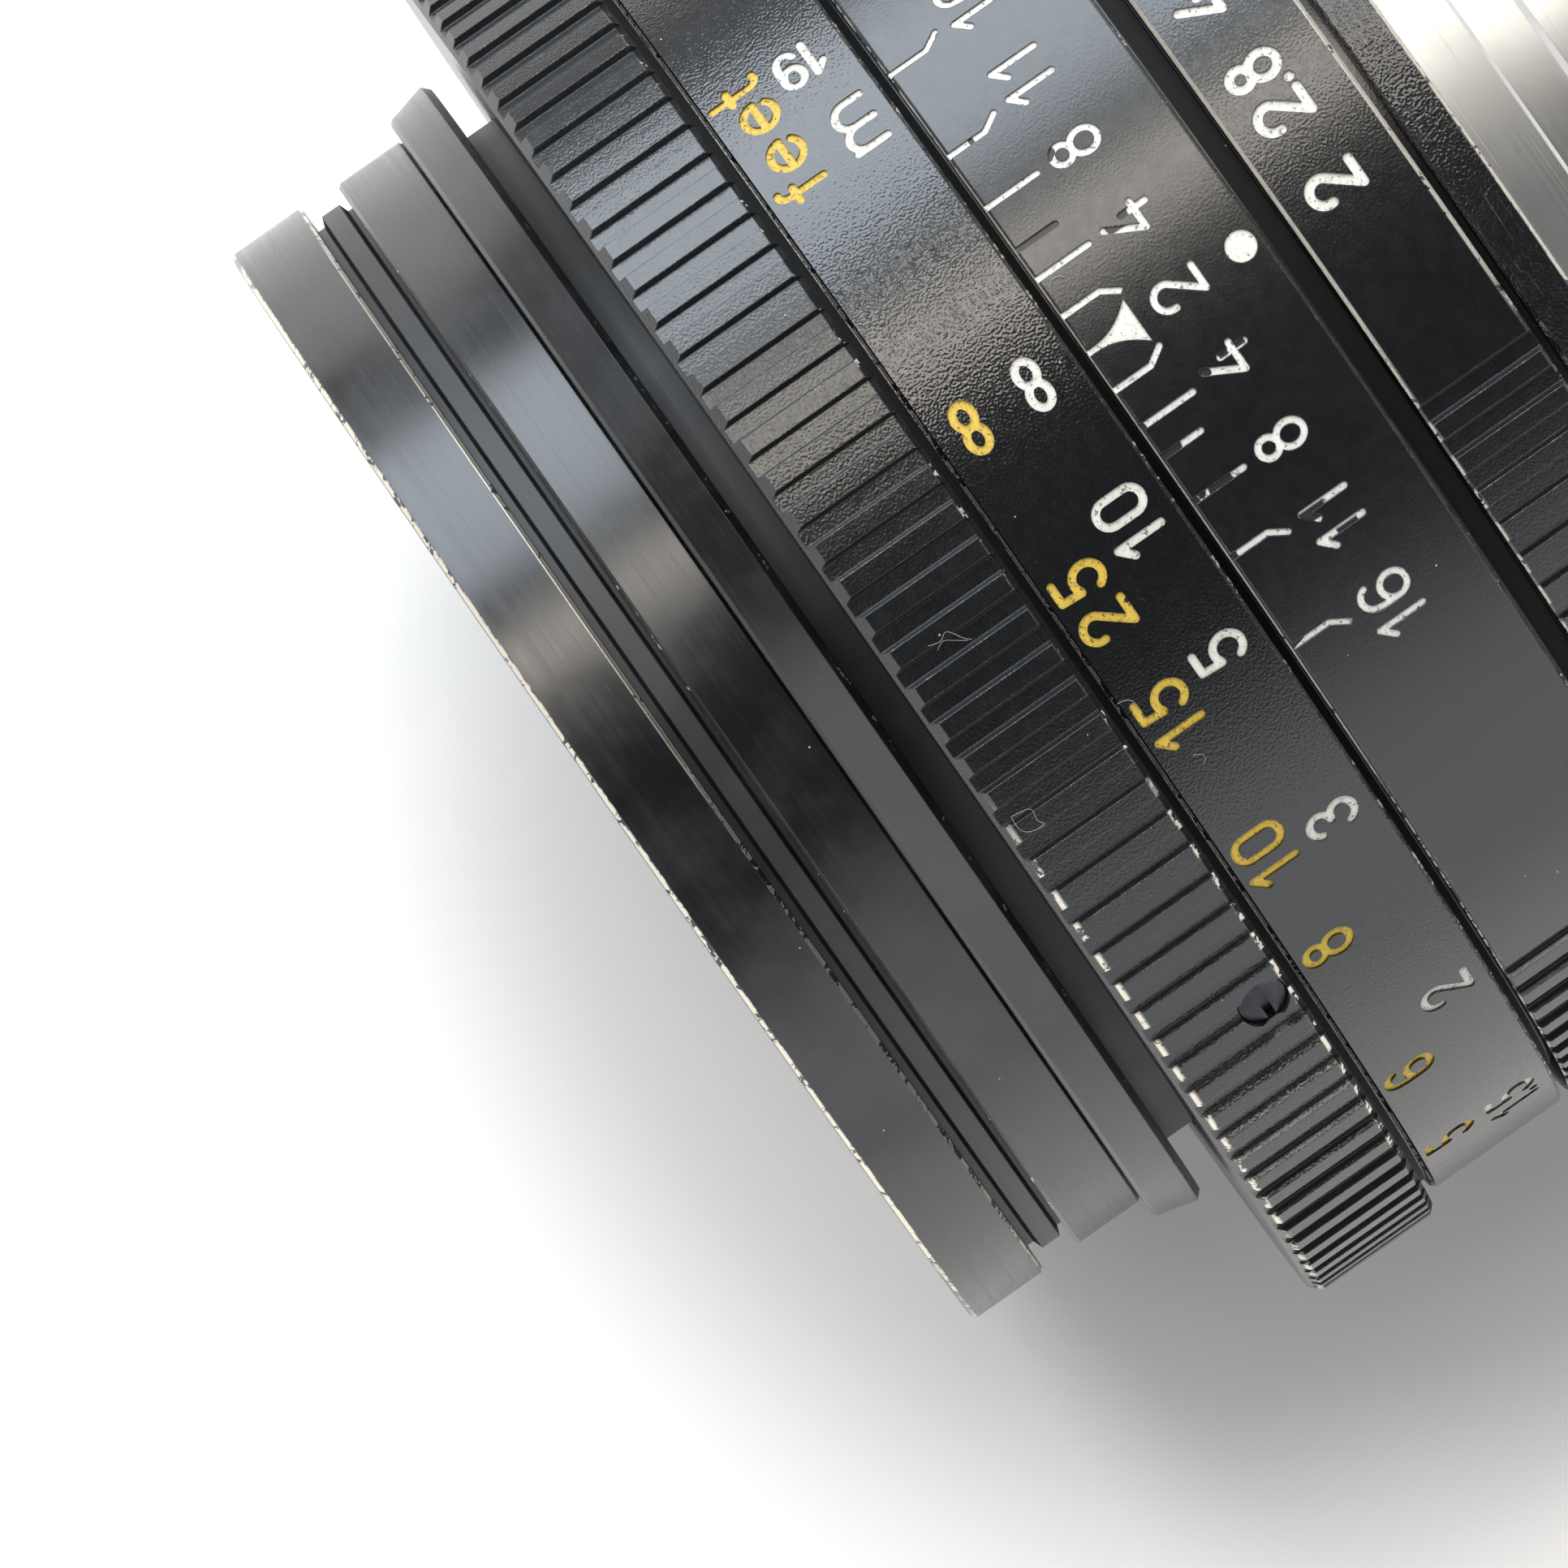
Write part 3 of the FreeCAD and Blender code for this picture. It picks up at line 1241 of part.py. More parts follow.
def make_elements():
    make_element(
        "front_element",
        FRONT_ELEMENT_RADIUS,
        (FIRST_BACK, S["front_element_back_radius"], -1, None),
        (FIRST_FRONT, S["front_element_front_radius"], -1, None),
    )
    make_element(
        "second_element",
        S["second_element_edge_radius"],
        (CEMENT_FRONT, None, 0, None),
        (SECOND_FRONT, S["second_element_front_radius"], -1, None),
    )
    make_element(
        "third_element",
        S["second_element_edge_radius"],
        (THIRD_BACK, S["third_element_back_radius"], -1, S["third_element_clear_radius"]),
        (CEMENT_FRONT, None, 0, None),
    )
    make_element(
        "fourth_element",
        S["fourth_element_edge_radius"],
        (CEMENT_REAR, None, 0, None),
        (FOURTH_FRONT, S["fourth_element_front_radius"], 1, S["fourth_element_clear_radius"]),
    )
    make_element(
        "fifth_element",
        S["fifth_element_edge_radius"],
        (FIFTH_BACK, S["fifth_element_back_radius"], 1, None),
        (CEMENT_REAR, None, 0, None),
    )
    make_element(
        "rear_element",
        S["rear_element_edge_radius"],
        (SIXTH_BACK, S["rear_element_back_radius"], 1, None),
        (SIXTH_FRONT, S["rear_element_front_radius"], -1, None),
    )


# Iris


def make_iris_base():
    """Front plate of the iris: its hole is the full aperture, and the blades pivot in it."""
    outline = [
        (S["iris_open_radius"], PLATE_Z),
        (CHAMBER_FIT, PLATE_Z),
        (CHAMBER_FIT, PLATE_END),
        (S["iris_open_radius"], PLATE_END),
    ]
    body = turned_body("iris_base", outline)
    hole = (PIVOT_CIRCLE, 0.0, S["blade_pin_radius"] + S["seating_gap"])
    cut = cut_along(body, "pivot_hole", hole, start=INDEX_ANGLE)
    repeat(body, "pivot_holes", cut, BLADES)


def make_iris_rear_plate():
    """Cup behind the cam ring that closes the iris and takes the rear cell."""
    outline = [
        (REAR_THREAD, REAR_BOSS_Z),
        (REAR_BOSS, REAR_BOSS_Z),
        (REAR_BOSS, REAR_PLATE_Z),
        (CHAMBER_FIT, REAR_PLATE_Z),
        (CHAMBER_FIT, PLATE_Z),
        (CUP_BORE, PLATE_Z),
        (CUP_BORE, REAR_PLATE_END),
        (REAR_THREAD, REAR_PLATE_END),
    ]
    body = turned_body("iris_rear_plate", outline)
    reach = S["lever_pin_radius"] + S["running_gap"] * 2
    margin = math.degrees((reach.number + value("lever_window_margin")) / LEVER_CIRCLE.number)
    window = [
        (LEVER_CIRCLE - reach, REAR_PLATE_Z - S["running_gap"]),
        (LEVER_CIRCLE + reach, REAR_PLATE_Z - S["running_gap"]),
        (LEVER_CIRCLE + reach, REAR_PLATE_END + S["running_gap"]),
        (LEVER_CIRCLE - reach, REAR_PLATE_END + S["running_gap"]),
    ]
    start = lever_angle() - RING_TRAVEL - margin
    turned_feature(body, "Groove", "lever_window", window, start, RING_TRAVEL + 2 * margin)


def blade_closing_angle():
    """How far a blade swings to close the iris from its full to its least opening."""
    shift = BLADE_INNER.number - value("iris_least_radius")
    return 2 * math.asin(shift / (2 * PIVOT_CIRCLE.number))


def drive_pin_offset():
    """Drive pin from its blade's pivot, with the pivot on the +X axis."""
    lag = math.radians(value("drive_pin_lag_angle"))
    radius = DRIVE_CIRCLE.number
    pivot = PIVOT_CIRCLE.number
    return VECTOR(radius * math.cos(lag) - pivot, radius * math.sin(lag), 0)


def turned_point(point, angle):
    return FreeCAD.Rotation(VECTOR(0, 0, 1), math.degrees(angle)).multVec(point)


def lever_angle():
    """Azimuth of the lever pin at full aperture: midway between two cam slots, below."""
    start, _, end = cam_slot_path()
    step = 360.0 / BLADES
    slot_start = math.degrees(math.atan2(start.y, start.x))
    slot_end = math.degrees(math.atan2(end.y, end.x))
    below = INDEX_ANGLE + step * (BLADES // 3)
    return below + (slot_end + step + slot_start) / 2


def cam_slot_path():
    """Three points of a blade's drive pin in the cam ring, from open to closed.

    The blade and the cam ring both turn clockwise seen from the front as the iris closes.
    """
    swing = blade_closing_angle()
    travel = math.radians(RING_TRAVEL)
    pivot = VECTOR(PIVOT_CIRCLE.number, 0, 0)
    points = []
    for share in (0.0, 0.5, 1.0):
        pin = pivot + turned_point(drive_pin_offset(), -swing * share)
        points.append(turned_point(pin, travel * share))
    return points


def make_cam_slot():
    """Cutter for one cam slot, as wide as the drive pin and its clearance."""
    first, middle, last = cam_slot_path()
    half = value("blade_pin_radius") + value("running_gap")
    path = Part.Arc(first, middle, last)
    centre = path.toShape().Curve.Center
    inner = []
    outer = []
    for point in (first, middle, last):
        ray = (point - centre).normalize()
        inner.append(point - ray * half)
        outer.append(point + ray * half)
    edges = [Part.Arc(*outer).toShape(), Part.Arc(*inner).toShape()]
    edges.append(Part.makeLine(outer[0], inner[0]))
    edges.append(Part.makeLine(outer[2], inner[2]))
    face = Part.Face(Part.Wire(Part.sortEdges(edges)[0]))
    slot = face.extrude(VECTOR(0, 0, value("cam_thickness")))
    for point in (first, last):
        slot = slot.fuse(Part.makeCylinder(half, value("cam_thickness"), point))
    return slot.removeSplitter()


def make_iris_cam_ring():
    """Ring whose slots swing all the blades together."""
    thick = value("cam_thickness")
    ring = Part.makeCylinder(CAM_OUTER.number, thick)
    ring = ring.cut(Part.makeCylinder(CAM_INNER.number, thick))
    slot = make_cam_slot()
    step = 360.0 / BLADES
    for i in range(BLADES):
        cutter = slot.copy()
        cutter.rotate(VECTOR(0, 0, 0), VECTOR(0, 0, 1), INDEX_ANGLE + i * step)
        ring = ring.cut(cutter)
    pin = lever_pin_place()
    hole = Part.makeCylinder(value("lever_pin_radius") + value("seating_gap"), thick, pin)
    add_shaped_node("iris_cam_ring", ring.cut(hole), VECTOR(0, 0, CAM_Z.number))


def lever_pin_place():
    angle = math.radians(lever_angle())
    radius = LEVER_CIRCLE.number
    return VECTOR(radius * math.cos(angle), radius * math.sin(angle), 0)


def make_iris_lever_pin():
    """Long pin behind the cam ring that runs in the aperture fork."""
    body = new_body("iris_lever_pin")
    sketch = new_sketch(body, "pin_circle", "XY_Plane", lever_angle())
    draw_circle(sketch, LEVER_CIRCLE, 0.0, S["lever_pin_radius"])
    sketch.setExpression("AttachmentOffset.Base.z", LEVER_PIN_Z.formula)
    pad = body.newObject("PartDesign::Pad", "pin")
    pad.Profile = sketch
    pad.setExpression("Length", (CAM_END - LEVER_PIN_Z).formula)


def make_blade_shape(layer):
    """One blade about its own pivot, with its pivot pin in front and drive pin behind."""
    thick = value("blade_thickness")
    pivot = PIVOT_CIRCLE.number
    sweep = value("blade_sweep_angle")
    axis = VECTOR(-pivot, 0, 0)
    up = VECTOR(0, 0, 1)
    outer = Part.makeCylinder(BLADE_OUTER.number, thick, axis, up, sweep)
    inner = Part.makeCylinder(BLADE_INNER.number, thick, axis, up, sweep)
    leaf = outer.cut(inner)
    leaf.rotate(axis, up, value("blade_lead_angle") - sweep)
    tab = value("blade_tab_radius")
    drive = drive_pin_offset()
    across = VECTOR(-drive.y, drive.x, 0).normalize() * tab
    bridge = Part.makePolygon([across, across + drive, drive - across, across * -1, across])
    pieces = [Part.makeCylinder(tab, thick), Part.makeCylinder(tab, thick, drive)]
    pieces.append(Part.Face(bridge).extrude(VECTOR(0, 0, thick)))
    for piece in pieces:
        leaf = leaf.fuse(piece)
    leaf = leaf.removeSplitter()
    radius = value("blade_pin_radius")
    ahead = value("blade_pitch") * (BLADES - layer) + value("running_gap")
    behind = value("blade_pitch") * layer + value("running_gap")
    front_pin = Part.makeCylinder(radius, ahead + value("iris_plate_thickness"))
    back_length = behind + value("cam_thickness")
    back_pin = Part.makeCylinder(radius, back_length, drive - up * back_length)
    return leaf.fuse(front_pin).fuse(back_pin)


def make_iris_blades():
    step = 360.0 / BLADES
    for i in range(BLADES):
        angle = INDEX_ANGLE + i * step
        pivot = turned_point(VECTOR(PIVOT_CIRCLE.number, 0, 0), math.radians(angle))
        pivot.z = BLADES_Z.number + value("blade_pitch") * i
        add_shaped_node(f"iris_blade_{i + 1}", make_blade_shape(i), pivot, angle)


def add_shaped_node(name, shape, place, azimuth=0.0):
    node = doc.addObject("Part::Feature", name)
    node.Label = name
    node.Shape = shape
    turn = LAID_DOWN.multiply(FreeCAD.Rotation(VECTOR(0, 0, 1), azimuth))
    node.Placement = FreeCAD.Placement(LAID_DOWN.multVec(place), turn)
    NODES.append(node)


# Build, check and write


def lay_down():
    """Turns every body so that the optical axis lies along -Y."""
    for node in NODES:
        if node.TypeId == "PartDesign::Body" and node.Placement.Rotation.Angle == 0.0:
            node.Placement.Rotation = LAID_DOWN


def check_model():
    faults = []
    for item in doc.Objects:
        if "Invalid" in item.State or "Error" in item.State:
            faults.append(f"{item.Name}: {item.State}")
        elif item.TypeId in ("PartDesign::Pocket", "PartDesign::Groove"):
            if item.BaseFeature.Shape.Volume - item.Shape.Volume < LEAST_CUT_VOLUME:
                faults.append(f"{item.Name} cuts nothing")
    for node in NODES:
        if node.Shape.isNull() or not node.Shape.isValid() or not node.Shape.Solids:
            faults.append(f"{node.Label} has no valid solid")
    if faults:
        raise RuntimeError("; ".join(faults))


def write_parts():
    os.makedirs("parts", exist_ok=True)
    for node in NODES:
        node.Shape.exportStep(os.path.join("parts", node.Label + ".step"))


def main():
    make_depth_barrel()
    make_rear_ring()
    make_bayonet_mount()
    make_mount_screws()
    make_guide_keys()
    make_rear_baffle()
    make_click_parts()
    make_index_bead()
    make_aperture_ring()
    make_aperture_fork()
    make_focus_helicoid()
    make_distance_ring()
    make_focus_grip()
    make_grip_screws()
    make_optical_barrel()
    make_front_barrel()
    make_trim_ring()
    make_bezel_ring()
    make_front_cell()
    make_front_retainer()
    make_front_spacer()
    make_rear_cell()
    make_rear_spacer()
    make_rear_retainer()
    make_elements()
    make_iris_base()
    make_iris_rear_plate()
    make_iris_cam_ring()
    make_iris_lever_pin()
    make_iris_blades()
    lay_down()
    doc.recompute()
    check_model()
    write_parts()
    print(f"{len(NODES)} nodes written")


main()
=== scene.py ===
import math

import bmesh
import bpy
from mathutils import Matrix, Vector
from mathutils.geometry import delaunay_2d_cdt


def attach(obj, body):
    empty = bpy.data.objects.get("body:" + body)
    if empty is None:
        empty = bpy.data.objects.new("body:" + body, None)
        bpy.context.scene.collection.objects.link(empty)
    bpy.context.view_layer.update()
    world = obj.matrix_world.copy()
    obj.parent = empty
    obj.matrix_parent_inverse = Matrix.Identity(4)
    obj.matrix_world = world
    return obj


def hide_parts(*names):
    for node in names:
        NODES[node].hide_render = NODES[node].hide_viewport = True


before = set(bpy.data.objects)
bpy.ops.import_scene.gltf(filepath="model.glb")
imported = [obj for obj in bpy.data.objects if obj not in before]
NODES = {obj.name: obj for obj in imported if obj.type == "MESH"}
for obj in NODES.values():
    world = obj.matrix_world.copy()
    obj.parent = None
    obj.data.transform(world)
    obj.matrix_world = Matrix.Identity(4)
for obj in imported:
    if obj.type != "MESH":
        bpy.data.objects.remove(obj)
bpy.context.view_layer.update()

# Lengths are in mm where nothing else is said, and Blender's are in metres. A station is a place
# along the axis, from the mount's flange at 0 to the front of the lens at -41.78. An azimuth is an
# angle round the axis in degrees, from the index on top towards +X.
MM = 0.001
RING_RADIUS = 30.75
# the lens lies on its grip, which has this radius
GRIP_RADIUS = 31.5

# gaps between the rings, and the front edge of the depth ring
GRIP_GAP = -24.86
SCALE_GAP = -18.36
STOP_GAP = -9.92
DEPTH_FRONT = -18.15

# the photographed view: looking down on the lens, which lies on its side
LEAN = math.radians(5.3)
TURN = math.radians(34.96)
UP = Vector((math.sin(LEAN), 0, math.cos(LEAN)))
ACROSS = Vector((math.cos(LEAN), 0, -math.sin(LEAN)))
ALONG = Vector((0, 1, 0))


# building shaders

class Wire:
    """One output in a node tree, with arithmetic on it."""

    def __init__(self, graph, socket):
        self.graph = graph
        self.socket = socket

    def math(self, operation, *others):
        node = self.graph.node("ShaderNodeMath")
        node.operation = operation
        for slot, value in zip(node.inputs, (self,) + others):
            self.graph.feed(slot, value)
        return Wire(self.graph, node.outputs[0])

    def __add__(self, other):
        return self.math("ADD", other)

    def __sub__(self, other):
        return self.math("SUBTRACT", other)

    def __mul__(self, other):
        return self.math("MULTIPLY", other)

    def __rsub__(self, other):
        return (self * -1.0) + other

    def __abs__(self):
        return self.math("ABSOLUTE")

    def step(self, low, high, bottom=0.0, top=1.0):
        """A soft step from bottom at low to top at high."""
        node = self.graph.node("ShaderNodeMapRange")
        node.interpolation_type = "SMOOTHSTEP"
        for name, value in (
            ("Value", self), ("From Min", low), ("From Max", high), ("To Min", bottom), ("To Max", top),
        ):
            self.graph.feed(node.inputs[name], value)
        return Wire(self.graph, node.outputs[0])


def largest(masks):
    """Where any of the masks is set."""
    total = masks[0]
    for mask in masks[1:]:
        total = total.math("MAXIMUM", mask)
    return total


class Graph:
    """A node tree, emptied, and short ways to fill it."""

    def __init__(self, tree):
        self.tree = tree
        tree.nodes.clear()

    def node(self, kind):
        return self.tree.nodes.new(kind)

    def feed(self, socket, value):
        if isinstance(value, Wire):
            self.tree.links.new(value.socket, socket)
        else:
            socket.default_value = value

    def ray(self, kind):
        return Wire(self, self.node("ShaderNodeLightPath").outputs[kind])

    def join(self, x, y, z):
        node = self.node("ShaderNodeCombineXYZ")
        for socket, value in zip(node.inputs, (x, y, z)):
            self.feed(socket, value)
        return Wire(self, node.outputs[0])

    def split(self, vector):
        node = self.node("ShaderNodeSeparateXYZ")
        self.feed(node.inputs[0], vector)
        return [Wire(self, output) for output in node.outputs]


class Shader(Graph):
    """A procedural material on one Principled surface, with the object's own coordinates in mm."""

    def __init__(self, name):
        self.material = bpy.data.materials.new(name)
        self.material.use_nodes = True
        super().__init__(self.material.node_tree)
        self.surface = self.node("ShaderNodeBsdfPrincipled")
        output = self.node("ShaderNodeOutputMaterial")
        self.tree.links.new(self.surface.outputs[0], output.inputs["Surface"])
        scale = self.node("ShaderNodeVectorMath")
        scale.operation = "SCALE"
        scale.inputs["Scale"].default_value = 1.0 / MM
        self.tree.links.new(self.node("ShaderNodeTexCoord").outputs["Object"], scale.inputs[0])
        self.place = Wire(self, scale.outputs[0])
        self.x, self.y, self.z = self.split(self.place)
        self.radius = (self.x * self.x + self.z * self.z).math("SQRT")
        self.azimuth = self.x.math("ARCTAN2", self.z) * math.degrees(1.0)

    def noise(self, scale, detail=2.0, roughness=0.5, vector=None):
        node = self.node("ShaderNodeTexNoise")
        self.feed(node.inputs["Vector"], vector or self.place)
        node.inputs["Scale"].default_value = scale
        node.inputs["Detail"].default_value = detail
        node.inputs["Roughness"].default_value = roughness
        return Wire(self, node.outputs["Fac"])

    def lathe_lines(self, fineness, detail=4.0, roughness=0.7, drift=0.004):
        """Noise drawn out round the axis, as a turning tool leaves it."""
        rings = self.join(self.radius * fineness, self.y * fineness, self.azimuth * drift)
        return self.noise(1.0, detail, roughness, rings)

    def unrolled(self, around, along):
        """The wall of the barrel laid flat, squeezed by the two factors."""
        arc = self.azimuth * (math.radians(RING_RADIUS) * around)
        return self.join(arc, self.y * along, self.radius)

    def band(self, station, reach, core):
        """A band round a station, whole within a share of its reach."""
        return abs(self.y - station).step(reach, reach * core)

    def mix(self, low, high, share):
        node = self.node("ShaderNodeMix")
        node.data_type = "RGBA"
        sockets = [s for s in node.inputs if s.type == "RGBA"]
        self.feed(node.inputs[0], share)
        for socket, colour in zip(sockets, (low, high)):
            self.feed(socket, colour if isinstance(colour, Wire) else (*colour, 1.0))
        return Wire(self, [s for s in node.outputs if s.type == "RGBA"][0])

    def blend(self, low, high, share):
        node = self.node("ShaderNodeMix")
        self.feed(node.inputs[0], share)
        self.feed(node.inputs[2], low)
        self.feed(node.inputs[3], high)
        return Wire(self, node.outputs[0])

    def specks(self, scale, size):
        """Scattered dust: small spots, most of them left out."""
        node = self.node("ShaderNodeTexVoronoi")
        self.feed(node.inputs["Vector"], self.place)
        node.inputs["Scale"].default_value = scale
        chosen = Wire(self, node.outputs["Color"]).math("GREATER_THAN", 0.62)
        return Wire(self, node.outputs["Distance"]).math("LESS_THAN", size) * chosen

    def rounded(self, radius):
        """The normal with every edge rounded off."""
        node = self.node("ShaderNodeBevel")
        node.samples = 4
        node.inputs["Radius"].default_value = radius * MM
        return Wire(self, node.outputs[0])

    def edge_share(self, rounded):
        """How far the rounded normal leaves the plain one: it marks the edges."""
        dot = self.node("ShaderNodeVectorMath")
        dot.operation = "DOT_PRODUCT"
        self.feed(dot.inputs[0], rounded)
        self.tree.links.new(self.node("ShaderNodeNewGeometry").outputs["Normal"], dot.inputs[1])
        return 1.0 - Wire(self, dot.outputs["Value"])

    def relief(self, height, depth, normal=None):
        """Bumps of the given depth on top of a normal."""
        node = self.node("ShaderNodeBump")
        node.inputs["Distance"].default_value = depth * MM
        self.feed(node.inputs["Height"], height)
        if normal:
            self.feed(node.inputs["Normal"], normal)
        return Wire(self, node.outputs[0])

    def finish(self, colour, roughness, **others):
        """Feeds the surface's sockets, each named with an underscore for a space."""
        self.feed(self.surface.inputs["Base Color"], colour)
        self.feed(self.surface.inputs["Roughness"], roughness)
        for name, value in others.items():
            if value is not None:
                self.feed(self.surface.inputs[name.replace("_", " ")], value)
        return self.material


# finishes

BLACK = (0.0046, 0.0050, 0.0058)
DUSTY_BLACK = (0.0074, 0.0078, 0.0086)
TURNED_BLACK = (0.017, 0.0175, 0.0185)
# painted shade: the colour that darkens the gaps between rings
GAP_SHADE = (0.0028, 0.0029, 0.0030)
RUBBED = (0.09, 0.088, 0.085)
EMPTY_CUT = (0.030, 0.030, 0.031)
BARE_METAL = (0.80, 0.74, 0.63)
DUST = (0.42, 0.41, 0.39)

# worn edges of the rings: station, reach, share of bare metal, and azimuth from and to
GRIP_WEAR = (
    (-30.32, 0.26, 0.62, 24.0, 100.0),
    (-25.10, 0.16, 0.55, 28.0, 70.0),
    (-25.10, 0.10, 0.30, -40.0, 28.0),
)
DISTANCE_WEAR = (
    (-24.52, 0.06, 0.62, -80.0, 90.0),
    (-18.58, 0.07, 0.30, -80.0, 80.0),
)
DEPTH_WEAR = (
    (-18.13, 0.06, 0.95, -14.0, 36.0),
    (-18.13, 0.05, 0.60, -80.0, 90.0),
    (-10.48, 0.06, 0.20, -60.0, 80.0),
)
APERTURE_WEAR = (
    (-9.40, 0.13, 1.30, -40.0, 12.0),
    (-9.42, 0.11, 0.72, 8.0, 60.0),
    (-4.52, 0.14, 0.80, -30.0, 12.0),
    (-4.50, 0.08, 0.35, -80.0, 80.0),
)
REAR_WEAR = (
    (-2.34, 0.10, 0.80, -60.0, 60.0),
    (-2.36, 0.10, 0.45, -120.0, 120.0),
)
SEAT_WEAR = (
    (-36.87, 0.05, 0.22, -60.0, 80.0),
    (-31.95, 0.06, 0.25, -40.0, 60.0),
)
TRIM_WEAR = (
    (-41.68, 0.11, 0.75, -70.0, 70.0),
    (-41.64, 0.09, 0.50, -110.0, 120.0),
    (-38.60, 0.10, 0.85, -60.0, 10.0),
    (-38.58, 0.08, 0.60, -100.0, 110.0),
)

# where the depth scale has lost its paint: azimuth, half width in degrees, and station from and to
LOST_PAINT = (
    (12.74, 0.50, -18.50, -17.80),
    (12.74, 0.50, -17.33, -16.33),
    (17.34, 0.60, -18.50, -17.77),
    (9.06, 0.50, -18.50, -17.20),
    (6.60, 0.50, -18.50, -17.85),
    (-8.12, 0.60, -18.50, -16.20),
    (-5.90, 0.65, -15.00, -13.95),
    (5.57, 0.35, -14.30, -13.90),
    (5.57, 0.35, -13.60, -13.15),
    (20.40, 0.50, -14.33, -13.45),
    (18.10, 0.50, -15.20, -14.13),
)


def chips(shader, edges):
    """Bare spots along worn edges."""
    coarse = shader.noise(1.1, 3.0, 0.62)
    fine = shader.noise(4.5, 2.0, 0.6)
    masks = []
    for station, reach, share, start, end in edges:
        middle, half = (start + end) / 2.0, (end - start) / 2.0
        inside = abs(shader.azimuth - middle).step(half + 4.0, half - 4.0)
        ragged = (coarse * 0.6 + fine * 0.4).step(0.66 - share * 0.32, 0.70 - share * 0.32)
        masks.append(shader.band(station, reach, 0.35) * inside * ragged)
    return largest(masks)


def black_enamel(name, grain, gloss, edges, land=None, rubs=0.0, gaps=()):
    """Black lacquer on blasted metal, with worn edges and a little dust.

    Rib edges beyond the land radius get bare metal, partly wear and partly a painted highlight. Rubs are
    streaks of wear.
    The gaps between rings, each given as its station and reach, get painted shade: a darker colour, with a
    rougher, less shiny finish.
    """
    shader = Shader(name)
    patches = shader.noise(0.16, 3.0, 0.6)
    cloud = shader.noise(1.7, 4.0, 0.6)
    colour = shader.mix(BLACK, DUSTY_BLACK, (patches * 0.7 + cloud * 0.3).step(0.25, 0.85))
    roughness = cloud.step(0.2, 0.8, gloss - 0.03, gloss + 0.03)
    metal = chips(shader, edges)
    normal = None
    if land:
        outer = shader.radius.step(land, land + 0.08)
        normal = shader.rounded(0.06)
        # painted highlight: patches of bare-metal colour along every rib edge beyond the land radius stand
        # partly for wear and partly for light catching the rounded edges
        worn = shader.edge_share(normal).step(0.02, 0.10)
        patchy = shader.noise(0.7, 4.0, 0.7).step(0.47, 0.60)
        fine = shader.noise(9.0, 1.0, 0.5).step(0.46, 0.62)
        metal = largest([metal * outer, worn * patchy * fine * outer * 0.38])
    if rubs:
        streaks = shader.noise(1.0, 3.0, 0.6, shader.unrolled(0.35, 7.0))
        rub = streaks.step(0.60, 0.72) * rubs
        roughness = roughness + rub * 0.1
        colour = shader.mix(colour, RUBBED, rub)
    specular = None
    if gaps:
        shaded_gaps = largest([shader.band(station, reach, 0.8) for station, reach in gaps])
        # painted shade: the gaps between rings are darkened as if shade fell in them, and are also made
        # rougher and less shiny
        colour = shader.mix(colour, GAP_SHADE, shaded_gaps)
        roughness = shader.blend(roughness, 0.62, shaded_gaps)
        specular = shaded_gaps.step(0.0, 1.0, 0.5, 0.12)
    colour = shader.mix(colour, BARE_METAL, metal)
    roughness = shader.blend(roughness, 0.42, metal)
    colour = shader.mix(colour, DUST, shader.specks(0.85, 0.035))
    normal = shader.relief(shader.noise(9.5, 0.0), 0.026 * grain, normal)
    return shader.finish(
        colour, roughness, Normal=normal, Metallic=metal, IOR=1.78, Specular_IOR_Level=specular,
    )


def satin_black(name, gloss, edges=(), matte_below=0.0):
    """Smooth black turned metal, matte below a radius."""
    shader = Shader(name)
    turned = shader.lathe_lines(6.0)
    patches = shader.noise(0.22, 3.0, 0.6)
    colour = shader.mix(BLACK, TURNED_BLACK, patches.step(0.38, 0.66))
    roughness = (patches * 0.5 + turned * 0.5).step(0.3, 0.7, gloss - 0.05, gloss + 0.06)
    if matte_below:
        roughness = roughness + shader.radius.step(matte_below + 0.1, matte_below - 0.1) * 0.26
    metal = None
    if edges:
        metal = chips(shader, edges)
        colour = shader.mix(colour, BARE_METAL, metal)
        roughness = shader.blend(roughness, 0.40, metal)
    colour = shader.mix(colour, DUST, shader.specks(0.7, 0.032))
    bumps = turned * 0.6 + shader.noise(9.0, 2.0, 0.5) * 0.4
    normal = shader.relief(bumps, 0.0022, shader.rounded(0.05))
    return shader.finish(colour, roughness, Normal=normal, Metallic=metal, IOR=1.75)


def matte_black():
    """Flat black inside the barrel, finely ridged."""
    shader = Shader("inner_black")
    patches = shader.noise(0.5, 3.0, 0.6)
    colour = shader.mix((0.008, 0.008, 0.009), (0.016, 0.016, 0.017), patches)
    colour = shader.mix(colour, DUST, shader.specks(0.6, 0.03))
    ridges = shader.lathe_lines(9.0, 2.0, 0.6, 0.003)
    return shader.finish(
        colour, patches.step(0.3, 0.7, 0.52, 0.66), Normal=shader.relief(ridges, 0.006), IOR=1.5,
    )


def chrome():
    """Plating over turned brass, with rub marks from the camera."""
    shader = Shader("chrome")
    turned = shader.lathe_lines(8.0)
    smudge = shader.noise(0.28, 4.0, 0.6)
    scratch = shader.noise(1.0, 3.0, 0.6, shader.unrolled(0.12, 9.0)).step(0.62, 0.70)
    colour = shader.mix((0.66, 0.65, 0.63), (0.60, 0.585, 0.56), smudge.step(0.3, 0.75))
    colour = shader.mix(colour, (0.50, 0.44, 0.36), scratch * 0.35)
    roughness = (turned * 0.5 + smudge * 0.5).step(0.3, 0.7, 0.33, 0.40) + scratch * 0.10
    normal = shader.relief(turned, 0.0016, shader.rounded(0.08))
    return shader.finish(colour, roughness, Normal=normal, Metallic=1.0)


